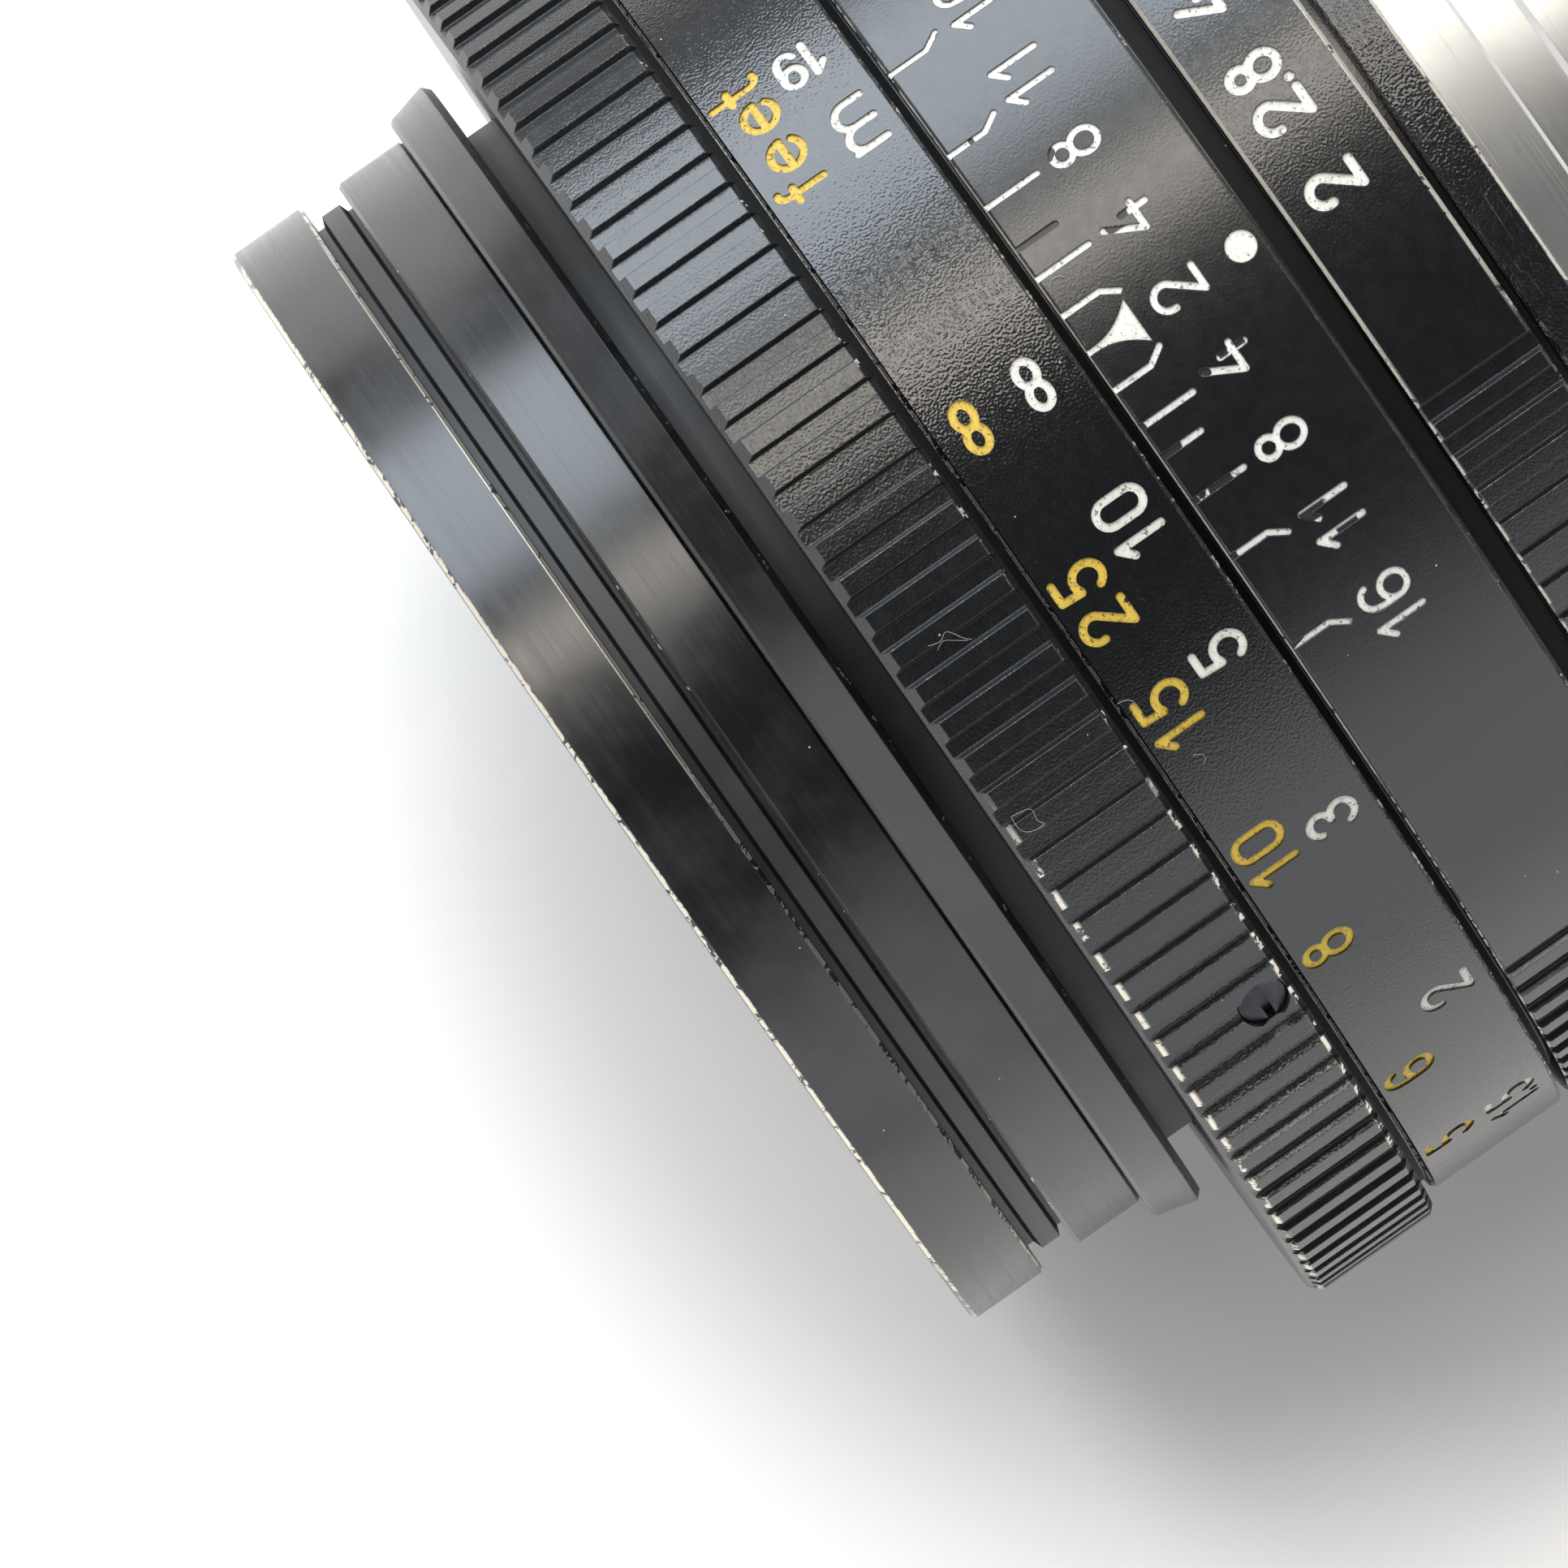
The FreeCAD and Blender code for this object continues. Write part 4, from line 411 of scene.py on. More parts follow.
def bare_metal(name, low, high, gloss):
    """Turned bare metal such as brass or steel."""
    shader = Shader(name)
    turned = shader.lathe_lines(7.0)
    smudge = shader.noise(0.4, 4.0, 0.6)
    colour = shader.mix(low, high, smudge.step(0.35, 0.65))
    roughness = (turned * 0.5 + smudge * 0.5).step(0.3, 0.7, gloss - 0.06, gloss + 0.08)
    return shader.finish(colour, roughness, Normal=shader.relief(turned, 0.003), Metallic=1.0)


def blade_steel():
    """Thin blued steel, brushed across."""
    shader = Shader("blued_steel")
    brushed = shader.noise(1.0, 3.0, 0.6, shader.join(shader.x * 1.2, shader.y, shader.z * 11.0))
    colour = shader.mix((0.30, 0.31, 0.34), (0.40, 0.405, 0.43), shader.noise(0.5, 3.0, 0.6))
    roughness = brushed.step(0.3, 0.7, 0.30, 0.45)
    return shader.finish(colour, roughness, Normal=shader.relief(brushed, 0.002), Metallic=1.0)


def coated_glass():
    """Coated glass: a faint coloured mirror over what lies behind it, with a trace of dust."""
    shader = Shader("coated_glass")
    haze = shader.noise(0.35, 4.0, 0.6).step(0.4, 0.8, 0.02, 0.06)
    dust = shader.specks(0.9, 0.03)
    tints = shader.noise(0.06, 1.0, 0.5).step(0.40, 0.60)
    coating = shader.mix((0.13, 0.20, 0.52), (0.42, 0.24, 0.46), tints)
    colour = shader.mix(coating, DUST, dust)
    return shader.finish(colour, haze, Metallic=1.0, Alpha=dust * 0.25 + 0.052)


def bare_patches(shader, patches):
    """Places where paint has come out."""
    ragged = shader.noise(3.6, 3.0, 0.65) * 0.30 - 0.15
    masks = []
    for azimuth, half, start, end in patches:
        middle, reach = (start + end) / 2.0, (end - start) / 2.0
        around = abs(shader.azimuth - azimuth).step(half + 0.1, half - 0.1)
        masks.append(around * (abs(shader.y - middle) + ragged).step(reach + 0.03, reach - 0.03))
    return largest(masks)


def paint_fill(name, clean, dirty, worn, patches=()):
    """Paint in an engraved line: dirty, cracked and in places gone."""
    shader = Shader(name)
    mottle = shader.noise(5.0, 3.0, 0.65)
    gone = shader.noise(0.75, 2.0, 0.5).step(worn, worn + 0.012)
    speck = shader.noise(6.5, 2.0, 0.5).step(0.63, 0.67) * 0.7
    lost = largest([gone, speck])
    if patches:
        lost = largest([lost, bare_patches(shader, patches)])
    colour = shader.mix(shader.mix(clean, dirty, mottle.step(0.50, 0.74)), EMPTY_CUT, lost)
    roughness = shader.blend(mottle.step(0.3, 0.7, 0.45, 0.62), 0.32, lost)
    normal = shader.relief(mottle * 0.6 - lost * 1.4, 0.012)
    return shader.finish(colour, roughness, Normal=normal, IOR=1.5)


def lint_white():
    shader = Shader("lint")
    mottle = shader.noise(3.0, 2.0, 0.5)
    colour = shader.mix((0.40, 0.39, 0.37), (0.16, 0.155, 0.15), mottle)
    roughness = mottle.step(0.3, 0.7, 0.55, 0.70)
    return shader.finish(colour, roughness, Normal=shader.relief(mottle, 0.006), IOR=1.45)


def bead_red():
    shader = Shader("red_bead")
    mottle = shader.noise(2.4, 3.0, 0.6)
    colour = shader.mix((0.52, 0.022, 0.016), (0.34, 0.015, 0.012), mottle)
    roughness = mottle.step(0.3, 0.7, 0.22, 0.38)
    return shader.finish(colour, roughness, Normal=shader.relief(mottle, 0.01), IOR=1.5)


# figures: each a width and its strokes, in a box one unit tall, with x to the right and y up

def bow(cx, cy, rx, ry, start, end, count=14):
    """Points on an oval arc, angles in degrees from the right, anticlockwise."""
    angles = [math.radians(start + (end - start) * i / count) for i in range(count + 1)]
    return [(cx + rx * math.cos(a), cy + ry * math.sin(a)) for a in angles]


ZERO = (
    bow(0.26, 0.74, 0.26, 0.26, 0, 180)
    + bow(0.26, 0.26, 0.26, 0.26, 180, 360)
    + [(0.52, 0.74)]
)
FIVE = [(0.48, 1.0), (0.08, 1.0), (0.05, 0.56)] + bow(0.24, 0.31, 0.28, 0.31, 125, -150, 20)
SIX = (
    bow(0.27, 0.74, 0.25, 0.26, 20, 165)
    + [(0.0, 0.62), (0.0, 0.28)]
    + bow(0.26, 0.28, 0.26, 0.28, 180, 540, 26)
)
NINE = [(0.52 - x, 1.0 - y) for x, y in SIX]
INFINITY = [bow(0.26, 0.5, 0.26, 0.20, 0, 360, 26), bow(0.76, 0.5, 0.26, 0.20, -180, 180, 26)]
LETTER_E = [(0.04, 0.37), (0.66, 0.37)] + bow(0.33, 0.35, 0.33, 0.35, 4, 318, 24)
FIGURES = {
    "0": (0.52, [ZERO]),
    "1": (0.25, [[(0.0, 0.76), (0.25, 1.0), (0.25, 0.0)]]),
    "2": (0.53, [bow(0.265, 0.735, 0.265, 0.265, 190, -28) + [(0.0, 0.0), (0.53, 0.0)]]),
    "3": (0.50, [bow(0.24, 0.755, 0.23, 0.245, 165, -90), bow(0.24, 0.26, 0.26, 0.26, 90, -165)]),
    "4": (0.60, [[(0.40, 1.0), (0.0, 0.27), (0.60, 0.27)], [(0.45, 0.56), (0.45, 0.0)]]),
    "5": (0.52, [FIVE]),
    "6": (0.52, [SIX]),
    "7": (0.50, [[(0.0, 1.0), (0.50, 1.0), (0.16, 0.0)]]),
    "8": (0.50, [bow(0.25, 0.785, 0.205, 0.215, -90, 270, 26), bow(0.25, 0.285, 0.25, 0.285, 90, 450, 28)]),
    "9": (0.52, [NINE]),
    ".": (0.0, [[(0.0, 0.0), (0.0, 0.02)]]),
    "~": (1.02, INFINITY),
    "e": (0.66, [LETTER_E]),
    "f": (0.28, [
        [(0.12, 0.0), (0.12, 0.80)] + bow(0.27, 0.80, 0.15, 0.20, 180, 80, 8),
        [(-0.06, 0.66), (0.28, 0.66)],
    ]),
    "m": (1.10, [
        [(0.0, 0.68), (0.0, 0.0)],
        [(0.0, 0.40)] + bow(0.27, 0.40, 0.27, 0.30, 160, 0, 10) + [(0.54, 0.0)],
        [(0.54, 0.40)] + bow(0.82, 0.40, 0.28, 0.30, 160, 0, 10) + [(1.10, 0.0)],
    ]),
    "t": (0.30, [
        [(0.10, 1.08), (0.10, 0.20)] + bow(0.26, 0.20, 0.16, 0.20, 180, 300, 8),
        [(-0.05, 0.66), (0.30, 0.66)],
    ]),
}
POINT_SPACING = 0.62
CAP_STEPS = 7


def capsule(start, end, half):
    """Outline of one straight run of a stroke with round ends."""
    heading = math.atan2(end[1] - start[1], end[0] - start[0])
    points = []
    for (x, y), turn in ((end, -90.0), (start, 90.0)):
        for i in range(CAP_STEPS + 1):
            angle = heading + math.radians(turn + 180.0 * i / CAP_STEPS)
            points.append((x + half * math.cos(angle), y + half * math.sin(angle)))
    return points


def stroke_outlines(line, half):
    """The outlines whose union is the stroke along a line."""
    runs = [(a, b) for a, b in zip(line, line[1:]) if math.dist(a, b) > 1e-6]
    return [capsule(a, b, half) for a, b in runs]


def figure_lines(text, height, gap):
    """Centre lines of a word or number, centred on its width; y is 0 on the base line."""
    lines, x = [], 0.0
    for index, letter in enumerate(text):
        width, strokes = FIGURES[letter]
        if index:
            by_point = letter == "." or text[index - 1] == "."
            x += gap * height * (POINT_SPACING if by_point else 1.0)
        lines += [[(x + px * height, py * height) for px, py in stroke] for stroke in strokes]
        x += width * height
    return [[(px - x / 2.0, py) for px, py in line] for line in lines]


# engraving: a cut's sides keep the ring's own finish, and its floor has one of the paints

WALL = 0
WHITE, YELLOW = 1, 2
WORN, SOUND = 1, 2
ABOVE_WALL = 0.25


def mesh_of(build, name):
    """The finished mesh of a build, with its faces turned outwards."""
    build.normal_update()
    bmesh.ops.recalc_face_normals(build, faces=build.faces)
    mesh = bpy.data.meshes.new(name)
    build.to_mesh(mesh)
    build.free()
    return mesh


def on_wall(point, azimuth, station, radius):
    """A point of a flat figure, rolled onto the barrel."""
    angle = math.radians(azimuth) + point[0] / RING_RADIUS
    return Vector((radius * math.sin(angle), station + point[1], radius * math.cos(angle))) * MM


class Engraving:
    """Figures to be cut into one ring, gathered as outlines on the ring's wall laid flat."""

    def __init__(self, depth):
        self.depth = depth
        self.groups = []

    def add(self, outlines, azimuth, station, paint, upright=True):
        """Outlines about a point: x towards falling azimuth and y to the front, or turned."""
        if upright:
            turned = [[(-x, -y) for x, y in outline] for outline in outlines]
        else:
            turned = [[(y, -x) for x, y in outline] for outline in outlines]
        self.groups.append((turned, azimuth, station, paint))

    def figures(self, text, azimuth, station, paint, height=1.88, stroke=0.33, gap=0.30, upright=True):
        outlines = []
        for line in figure_lines(text, height, gap):
            outlines += stroke_outlines([(x, y - height / 2.0) for x, y in line], stroke / 2.0)
        self.add(outlines, azimuth, station, paint, upright)

    def line(self, points, azimuth, station, paint, stroke):
        self.add(stroke_outlines(points, stroke / 2.0), azimuth, station, paint)

    def cutter(self, name, materials):
        """One mesh of plugs, in the wall's finish and the paints."""
        build = bmesh.new()
        for group in self.groups:
            self.add_plug(build, *group)
        mesh = mesh_of(build, name)
        for material in materials:
            mesh.materials.append(material)
        cutter = bpy.data.objects.new(name, mesh)
        bpy.context.scene.collection.objects.link(cutter)
        return cutter

    def add_plug(self, build, outlines, azimuth, station, paint):
        points, outline_faces = [], []
        for outline in outlines:
            outline_faces.append(list(range(len(points), len(points) + len(outline))))
            points += [Vector(p) for p in outline]
        flat, _, pieces, _, _, owners = delaunay_2d_cdt(points, [], outline_faces, 1, 1e-5)
        pieces = [piece for piece, owner in zip(pieces, owners) if owner]
        bottom, top = (
            [build.verts.new(on_wall(p, azimuth, station, radius)) for p in flat]
            for radius in (RING_RADIUS - self.depth, RING_RADIUS + ABOVE_WALL)
        )
        for piece in pieces:
            build.faces.new([bottom[i] for i in piece[::-1]]).material_index = paint
            build.faces.new([top[i] for i in piece]).material_index = WALL
        sides = dict.fromkeys(side for piece in pieces for side in zip(piece, piece[1:] + piece[:1]))
        for a, b in sides:
            if (b, a) not in sides:
                build.faces.new((bottom[a], bottom[b], top[b], top[a])).material_index = WALL


TURNED_LIMIT = 0.06


def shade_turned(mesh):
    """Smooth shading that is exact on turned faces and flat on rib and figure walls."""
    mesh.polygons.foreach_set("use_smooth", [True] * len(mesh.polygons))
    normals = [Vector((0.0, 0.0, 0.0))] * len(mesh.loops)
    for face in mesh.polygons:
        out = Vector((face.center.x, 0.0, face.center.z)).normalized()
        around = Vector((out.z, 0.0, -out.x))
        turned = abs(face.normal.dot(around)) < TURNED_LIMIT
        for loop, vertex in zip(face.loop_indices, face.vertices):
            if turned:
                place = mesh.vertices[vertex].co
                corner_out = Vector((place.x, 0.0, place.z)).normalized()
                exact = corner_out * face.normal.dot(out) + Vector((0.0, face.normal.y, 0.0))
                normals[loop] = exact.normalized()
            else:
                normals[loop] = face.normal.copy()
    mesh.normals_split_custom_set(normals)


def engrave(node, name, body, cuts, wall, paints):
    """Replaces a ring with a copy that has the figures cut out of it."""
    cutter = cuts.cutter(name + "_cutter", (wall,) + paints)
    mesh = NODES[node].data.copy()
    mesh.materials.clear()
    mesh.materials.append(wall)
    ring = bpy.data.objects.new(name, mesh)
    bpy.context.scene.collection.objects.link(ring)
    cut = ring.modifiers.new("cut", "BOOLEAN")
    cut.operation = "DIFFERENCE"
    cut.solver = "EXACT"
    cut.material_mode = "TRANSFER"
    cut.object = cutter
    evaluated = ring.evaluated_get(bpy.context.evaluated_depsgraph_get())
    result = bpy.data.meshes.new_from_object(evaluated)
    ring.modifiers.clear()
    ring.data = result
    bpy.data.objects.remove(cutter)
    shade_turned(result)
    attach(ring, body)
    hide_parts(node)


# the focusing scale: a label stands where the helicoid brings its distance into focus

SCALE_OFFSET = 103.8
SCALE_SQUARE = 51.9 ** 2
THROW_PER_UNIT = 40.2
WHITE_ROW, YELLOW_ROW = -20.35, -23.1
UNIT_WHITE_ROW, UNIT_YELLOW_ROW = -20.32, -23.05
TURNED_ROW = -20.5
METRES = ("10", "5", "3", "2", "1.5", "1.2", "1", ".9", ".8", ".7", ".6")
FEET = ("25", "15", "10", "8", "6", "5", "4", "3.5", "3", "2.5", "2")
MM_PER_METRE, MM_PER_FOOT = 1000.0, 304.8
# how far some photographed numbers stand off their true places, in degrees
METRE_SHIFTS = {"10": 0.40, "5": 0.14}
FOOT_SHIFTS = {"15": -0.30}
# just off the ring's seam, where a cut would leave slivers
INFINITY_AZIMUTH = 0.02


def distance_scale():
    cuts = Engraving(depth=0.12)
    cuts.figures("~", INFINITY_AZIMUTH, WHITE_ROW, WHITE)
    cuts.figures("~", INFINITY_AZIMUTH, YELLOW_ROW, YELLOW)
    for labels, unit, shifts, station, paint in (
        (METRES, MM_PER_METRE, METRE_SHIFTS, WHITE_ROW, WHITE),
        (FEET, MM_PER_FOOT, FOOT_SHIFTS, YELLOW_ROW, YELLOW),
    ):
        for text in labels:
            azimuth = THROW_PER_UNIT * SCALE_SQUARE / (float(text) * unit - SCALE_OFFSET)
            cuts.figures(text, azimuth + shifts.get(text, 0.0), station, paint, gap=0.43)
    for letter, azimuth in (("f", -20.8), ("e", -23.7), ("e", -27.4), ("t", -30.1)):
        cuts.figures(letter, azimuth, UNIT_YELLOW_ROW, YELLOW, height=1.85)
    cuts.figures("m", -22.4, UNIT_WHITE_ROW, WHITE, height=1.90)
    cuts.figures("19", -29.1, TURNED_ROW, WHITE, height=1.52, stroke=0.34, upright=False)
    return cuts


# the depth scale: each mark is a stop's turn, with the index between the two sides

MARK_ANGLE = 1.534
MARK_ZERO = 0.47
MARK_OVERRUN = 0.2
MARK_BEND = 0.65
MARK_HOOK = 0.42
# stop, length of its mark, and which way the mark's end bends
DEPTH_MARKS = (
    (2.0, 2.33, -1), (4.0, 2.37, 0), (5.6, 1.8, 0), (8.0, 2.33, 0), (11.0, 2.33, 1), (16.0, 2.33, 1),
)
DEPTH_ROW = -14.15
DEPTH_FIGURES = (
    ("16", -25.65), ("11", -18.05), ("8", -11.85), ("4", -5.44), ("2", 0.40),
    ("4", 6.27), ("8", 12.65), ("11", 19.27), ("16", 26.52),
)
DOT_AZIMUTH, DOT_STATION, DOT_RADIUS = 0.40, -11.34, 0.60


def depth_scale():
    cuts = Engraving(depth=0.10)
    for side in (-1, 1):
        for stop, length, bend in DEPTH_MARKS:
            straight = length - (MARK_BEND if bend else 0.0)
            points = [(0.0, 0.0), (0.0, -straight - MARK_OVERRUN)]
            if bend:
                points.append((-MARK_HOOK * bend * side, -length - MARK_OVERRUN))
            azimuth = MARK_ZERO + side * MARK_ANGLE * stop
            cuts.line(points, azimuth, DEPTH_FRONT - MARK_OVERRUN, WORN, stroke=0.24)
    for text, azimuth in DEPTH_FIGURES:
        cuts.figures(text, azimuth, DEPTH_ROW, WORN, stroke=0.27, gap=0.40)
    cuts.add([pointer()], MARK_ZERO, DEPTH_FRONT, SOUND)
    dot = bow(0.0, 0.0, DOT_RADIUS, DOT_RADIUS, 0, 360, 40)[:-1]
    cuts.add([dot], DOT_AZIMUTH, DOT_STATION, SOUND)
    return cuts


def pointer():
    """The index: a triangle with hollow sides, its tip on the scale."""
    half, tip, base, neck = 0.93, 0.06, -2.23, 0.11
    steps, hollow, shoulder, overrun = 12, 2.1, 0.18, 0.25
    left = []
    for i in range(steps + 1):
        share = i / steps
        width = neck + (half - neck) * share ** hollow
        left.append((-width, tip + (base - tip) * (shoulder + (1.0 - shoulder) * share)))
    right = [(-x, y) for x, y in left[::-1]]
    return [(-neck, tip + overrun)] + left + right + [(neck, tip + overrun)]


STOPS = ("2", "2.8", "4", "5.6", "8", "11", "16")
STOP_ANGLE = 7.8
STOP_ZERO = 0.6
STOP_ROW = -7.32


def aperture_scale():
    cuts = Engraving(depth=0.12)
    for index, text in enumerate(STOPS):
        azimuth = STOP_ZERO - STOP_ANGLE * index
        cuts.figures(text, azimuth, STOP_ROW, WHITE, height=1.95, stroke=0.38, gap=0.36)
    return cuts


# small pieces

THREAD_PITCH, THREAD_TURNS = 0.75, 4
THREAD_START = -41.35
THREAD_ROOT = 20.84
THREAD_DEPTH = 0.36
THREAD_FLANK = THREAD_PITCH * 0.42
THREAD_FLAT = 0.06
STEPS_PER_TURN = 144
RUN_OUT_STEPS = 24
FIBRE_SIDES = 5
FIBRE_STEPS = 4
SMOOTHINGS = 3

# fibres of lint: radius, thickness, and the points of the fibre as azimuth and station
FOCUS_LINT = (
    (31.52, 0.013, (
        (10.3, -28.9), (10.6, -28.4), (10.1, -28.1), (10.5, -27.9), (11.2, -27.7), (11.6, -27.45),
    )),
    (31.52, 0.011, ((10.9, -28.7), (10.5, -28.35), (11.0, -28.0), (11.5, -27.6))),
    (31.52, 0.014, (
        (22.9, -29.95), (23.1, -29.1), (24.2, -29.3), (24.7, -29.0), (24.6, -29.7), (24.0, -30.0),
        (22.9, -29.95),
    )),
    (30.80, 0.016, ((21.1, -24.45), (21.2, -24.1), (21.6, -23.9), (22.2, -23.95))),
    (30.78, 0.013, ((27.2, -23.25), (27.5, -22.95), (27.9, -22.9), (28.2, -23.1))),
)
DEPTH_LINT = (
    (30.79, 0.025, (
        (-4.70, -17.85), (-5.00, -17.72), (-5.08, -17.50), (-4.98, -17.30), (-4.72, -17.22),
    )),
)


def skin(build, rows):
    """Closes a run of equal rows of places into a solid."""
    rows = [[build.verts.new(place * MM) for place in row] for row in rows]
    for row, following in zip(rows, rows[1:]):
        for j in range(len(row)):
            k = (j + 1) % len(row)
            build.faces.new((row[j], row[k], following[k], following[j]))
    build.faces.new(rows[0][::-1])
    build.faces.new(rows[-1])


def settle(build, name, material, body):
    """Makes a piece of a build and lets it ride on its body."""
    mesh = mesh_of(build, name)
    mesh.materials.append(material)
    mesh.polygons.foreach_set("use_smooth", [True] * len(mesh.polygons))
    mesh.set_sharp_from_angle(angle=math.radians(30.0))
    piece = bpy.data.objects.new(name, mesh)
    bpy.context.scene.collection.objects.link(piece)
    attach(piece, body)


def filter_thread(material):
    """Fine screw thread inside the front ring, running out at both ends."""
    rows = []
    steps = STEPS_PER_TURN * THREAD_TURNS
    for i in range(steps + 1):
        angle = 2.0 * math.pi * i / STEPS_PER_TURN
        y = THREAD_START + THREAD_PITCH * i / STEPS_PER_TURN
        crest = THREAD_ROOT - THREAD_DEPTH * min(1.0, i / RUN_OUT_STEPS, (steps - i) / RUN_OUT_STEPS)
        section = (
            (THREAD_ROOT, y - THREAD_FLANK), (crest, y - THREAD_FLAT),
            (crest, y + THREAD_FLAT), (THREAD_ROOT, y + THREAD_FLANK),
        )
        rows.append([Vector((r * math.sin(angle), s, r * math.cos(angle))) for r, s in section])
    build = bmesh.new()
    skin(build, rows)
    settle(build, "filter_thread", material, "optical_unit")


def smoothed(line):
    """A line with each run cut into steps and its corners rounded off."""
    points = []
    for (a, y), (b, z) in zip(line, line[1:]):
        shares = [i / FIBRE_STEPS for i in range(FIBRE_STEPS)]
        points += [(a + (b - a) * share, y + (z - y) * share) for share in shares]
    points.append(line[-1])
    for _ in range(SMOOTHINGS):
        middle = [
            tuple((p + 2.0 * q + r) / 4.0 for p, q, r in zip(*three))
            for three in zip(points, points[1:], points[2:])
        ]
        points = [points[0]] + middle + [points[-1]]
    return points


def lint(name, fibres, material, body):
    """Fine fibres lying on a ring."""
    build = bmesh.new()
    for radius, thickness, line in fibres:
        centres = []
        for azimuth, station in smoothed(line):
            angle = math.radians(azimuth)
            centres.append(Vector((radius * math.sin(angle), station, radius * math.cos(angle))))
        rows = []
        for i, centre in enumerate(centres):
            along = (centres[min(i + 1, len(centres) - 1)] - centres[max(i - 1, 0)]).normalized()
            out = Vector((centre.x, 0.0, centre.z)).normalized()
            side = along.cross(out).normalized()
            turns = [2.0 * math.pi * k / FIBRE_SIDES for k in range(FIBRE_SIDES)]
            rows.append([
                centre + (side * math.cos(turn) + out * math.sin(turn)) * thickness for turn in turns
            ])
        skin(build, rows)
    settle(build, name, material, body)


# the picture: camera, floor and light

AIM_STATION = -36.0
AIM_SHIFT = 3.85
CAMERA_HEIGHT = 543.5
FOCAL_LENGTH = 326.0

# the floor's painted glow, rising with distance in metres from a place under the lens, keeps the table
# white beyond the lens's real shadow and paints where that shadow fades out
SHADOW_MIDDLE = (0.008, -0.018, 0.0)
GLOW_START, GLOW_FULL = 0.028, 0.041
GLOW = 0.28

# soft boxes: angle from the view line and spread in degrees, length in metres, radiance, colour,
# shift to the rear in metres, and whether they show in reflections
LAMPS = (
    ("key_light", -57.0, 34.0, 1.3, 4.9, (0.82, 0.91, 1.0), 0.36, True),
    ("warm_light", -25.2, 10.8, 1.3, 5.4, (1.0, 0.94, 0.86), 0.36, True),
    ("soft_fill", -20.0, 30.0, 1.2, 2.8, (1.0, 1.0, 1.0), 0.0, False),
    ("right_fill", 48.0, 40.0, 1.2, 0.75, (1.0, 1.0, 1.0), 0.0, False),
)
LAMP_STATION = -22.0
LAMP_DISTANCE = 1.2


def make_camera():
    aim = Vector((0, AIM_STATION * MM, 0))
    back = aim + ACROSS * (AIM_SHIFT * MM) + UP * (CAMERA_HEIGHT * MM)
    right = ALONG * math.cos(TURN) + ACROSS * math.sin(TURN)
    top = ALONG * math.sin(TURN) - ACROSS * math.cos(TURN)
    data = bpy.data.cameras.new("camera")
    data.lens = FOCAL_LENGTH
    data.sensor_width = 36.0
    data.clip_start = 0.01
    data.clip_end = 50.0
    camera = bpy.data.objects.new("camera", data)
    turn = Matrix((right, top, UP)).transposed()
    camera.matrix_world = Matrix.Translation(back) @ turn.to_4x4()
    bpy.context.scene.collection.objects.link(camera)
    bpy.context.scene.camera = camera


def table_white():
    """A pale table with the lens's real soft shadow and a painted glow that rises away from a place under
    the lens, so it is white away from the lens and the glow paints the shadow's outer edge.
    """
    material = bpy.data.materials.new("white_table")
    material.use_nodes = True
    graph = Graph(material.node_tree)
    seen = largest([graph.ray(f"Is {kind} Ray") for kind in ("Camera", "Glossy", "Transmission")])
    reach = graph.node("ShaderNodeVectorMath")
    reach.operation = "DISTANCE"
    reach.inputs[1].default_value = SHADOW_MIDDLE
    graph.tree.links.new(graph.node("ShaderNodeTexCoord").outputs["Object"], reach.inputs[0])
    # painted light: the table glows for camera, glossy and transmission rays, more with distance from a
    # place under the lens, so the floor near the lens stays darker as painted shade
    away = Wire(graph, reach.outputs["Value"]).step(GLOW_START, GLOW_FULL, 0.0, GLOW)
    glow = graph.node("ShaderNodeEmission")
    graph.feed(glow.inputs["Strength"], seen * away)
    matte = graph.node("ShaderNodeBsdfDiffuse")
    matte.inputs["Color"].default_value = (0.885, 0.865, 0.845, 1.0)
    both = graph.node("ShaderNodeAddShader")
    graph.tree.links.new(matte.outputs[0], both.inputs[0])
    graph.tree.links.new(glow.outputs[0], both.inputs[1])
    output = graph.node("ShaderNodeOutputMaterial")
    graph.tree.links.new(both.outputs[0], output.inputs["Surface"])
    return material


def make_floor():
    mesh = bpy.data.meshes.new("floor")
    build = bmesh.new()
    bmesh.ops.create_grid(build, x_segments=24, y_segments=24, size=3.0)
    build.to_mesh(mesh)
    build.free()
    mesh.materials.append(table_white())
    floor = bpy.data.objects.new("floor", mesh)
    floor.location.z = -GRIP_RADIUS * MM
    bpy.context.scene.collection.objects.link(floor)


def make_world():
    """A white room seen by the camera; the light from it is dim overhead and brighter at the front."""
    world = bpy.data.worlds.new("studio")
    bpy.context.scene.world = world
    world.use_nodes = True
    graph = Graph(world.node_tree)
    direction = Wire(graph, graph.node("ShaderNodeTexCoord").outputs["Generated"])
    x, y, z = graph.split(direction)
    room = z.step(0.86, 0.40, 0.055, 1.15) * x.step(-0.8, -0.1, 0.45, 1.0)
    front = y.step(-0.14, -0.42, 0.0, 1.45) * x.step(-0.12, 0.22)
    reflected = graph.ray("Is Glossy Ray") * 0.55 + 0.45
    light = graph.node("ShaderNodeBackground")
    light.inputs["Color"].default_value = (0.94, 0.97, 1.0, 1.0)
    graph.feed(light.inputs["Strength"], largest([room, front]) * reflected)
    white = graph.node("ShaderNodeBackground")
    white.inputs["Color"].default_value = (1.0, 1.0, 1.0, 1.0)
    both = graph.node("ShaderNodeMixShader")
    graph.feed(both.inputs[0], largest([graph.ray("Is Camera Ray"), graph.ray("Is Transmission Ray")]))
    graph.tree.links.new(light.outputs[0], both.inputs[1])
    graph.tree.links.new(white.outputs[0], both.inputs[2])
    output = graph.node("ShaderNodeOutputWorld")
    graph.tree.links.new(both.outputs[0], output.inputs["Surface"])


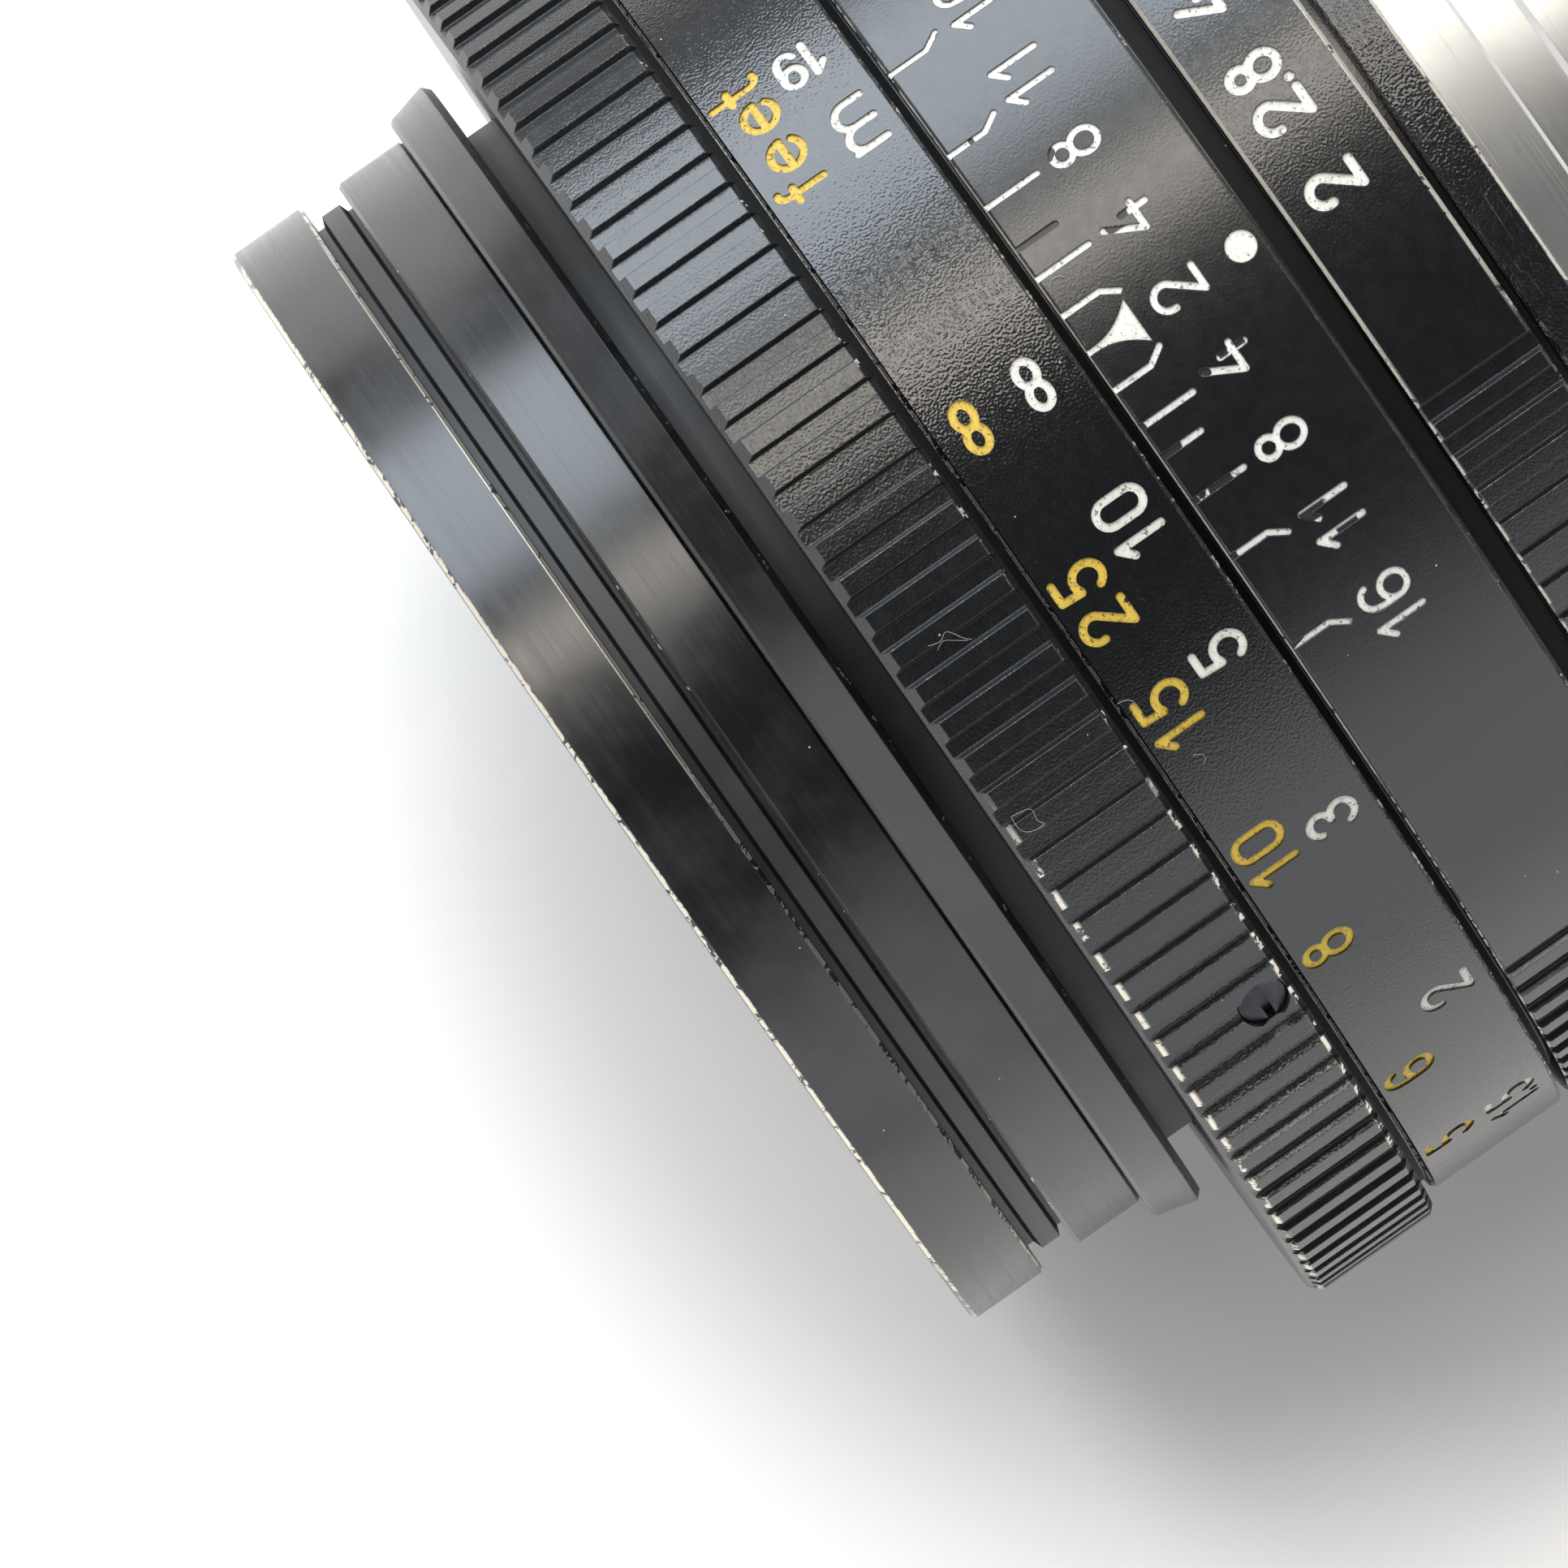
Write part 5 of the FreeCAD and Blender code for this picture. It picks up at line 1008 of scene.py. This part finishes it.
def make_lamp(name, angle, spread, length, radiance, colour, shift, reflected):
    data = bpy.data.lights.new(name, "AREA")
    data.shape = "RECTANGLE"
    data.size = 2.0 * LAMP_DISTANCE * math.tan(math.radians(spread / 2.0))
    data.size_y = length
    data.energy = math.pi * data.size * data.size_y * radiance
    data.color = colour
    lamp = bpy.data.objects.new(name, data)
    lamp.visible_glossy = reflected
    direction = UP * math.cos(math.radians(angle)) + ACROSS * math.sin(math.radians(angle))
    place = Vector((0, LAMP_STATION * MM, 0)) + direction * LAMP_DISTANCE + ALONG * shift
    side = ALONG.cross(direction).normalized()
    turn = Matrix((side, ALONG, direction)).transposed()
    lamp.matrix_world = Matrix.Translation(place) @ turn.to_4x4()
    bpy.context.scene.collection.objects.link(lamp)


# dressing the part

def outer_finishes():
    """The finishes of single solids, by node."""
    return {
        "focus_grip": black_enamel(
            "grip_black", 0.42, 0.25, GRIP_WEAR, land=31.30, gaps=((GRIP_GAP, 0.33),),
        ),
        "distance_ring": black_enamel(
            "distance_black", 0.50, 0.19, DISTANCE_WEAR, gaps=((GRIP_GAP, 0.29), (SCALE_GAP, 0.22)),
        ),
        "depth_barrel": black_enamel(
            "depth_black", 0.14, 0.25, DEPTH_WEAR, land=30.45, gaps=((SCALE_GAP, 0.18), (STOP_GAP, 0.50)),
        ),
        "aperture_ring": black_enamel("aperture_black", 0.30, 0.23, APERTURE_WEAR, land=30.45),
        "rear_ring": black_enamel("rear_black", 0.80, 0.23, REAR_WEAR, rubs=0.6),
        "optical_barrel": satin_black("barrel_black", 0.52),
        "front_barrel": satin_black("seat_black", 0.27, SEAT_WEAR, matte_below=24.45),
        "trim_ring": satin_black("trim_black", 0.25, TRIM_WEAR),
        "grip_screws": bare_metal("blackened_steel", (0.045, 0.046, 0.050), (0.09, 0.09, 0.094), 0.30),
    }


def slot_finishes():
    """The finishes of the other solids, by the slot that each comes with."""
    return {
        "black_matte": matte_black(),
        "black_paint": satin_black("plain_black", 0.33),
        "chrome_mount": chrome(),
        "steel": bare_metal("steel", (0.50, 0.50, 0.51), (0.60, 0.60, 0.60), 0.28),
        "brass": bare_metal("brass", (0.66, 0.46, 0.20), (0.76, 0.55, 0.27), 0.26),
        "blade_steel": blade_steel(),
        "coated_glass": coated_glass(),
        "bead": bead_red(),
    }


def dress():
    """Gives every carried-over solid its finish, and adds the engraved rings and small pieces."""
    outer, by_slot = outer_finishes(), slot_finishes()
    for name, node in NODES.items():
        for place in node.material_slots:
            slot_name = place.material.name.split(".")[0]
            place.material = outer.get(name) or by_slot[slot_name]
    white = paint_fill("white_paint", (0.80, 0.78, 0.71), (0.56, 0.53, 0.44), 0.74)
    yellow = paint_fill("yellow_paint", (0.72, 0.50, 0.075), (0.42, 0.27, 0.05), 0.74)
    worn = paint_fill("worn_white_paint", (0.86, 0.85, 0.80), (0.60, 0.58, 0.52), 0.67, LOST_PAINT)
    for node, name, body, cuts, paints in (
        ("distance_ring", "engraved_distance_ring", "focus_ring", distance_scale(), (white, yellow)),
        ("depth_barrel", "engraved_depth_ring", "fixed_barrel", depth_scale(), (worn, white)),
        ("aperture_ring", "engraved_aperture_ring", "aperture_ring", aperture_scale(), (white,)),
    ):
        engrave(node, name, body, cuts, outer[node], paints)
    filter_thread(by_slot["black_paint"])
    fibre = lint_white()
    lint("focus_ring_lint", FOCUS_LINT, fibre, "focus_ring")
    lint("depth_ring_lint", DEPTH_LINT, fibre, "fixed_barrel")


dress()
make_camera()
make_floor()
make_world()
for lamp_row in LAMPS:
    make_lamp(*lamp_row)
bpy.context.scene.view_settings.view_transform = "Standard"
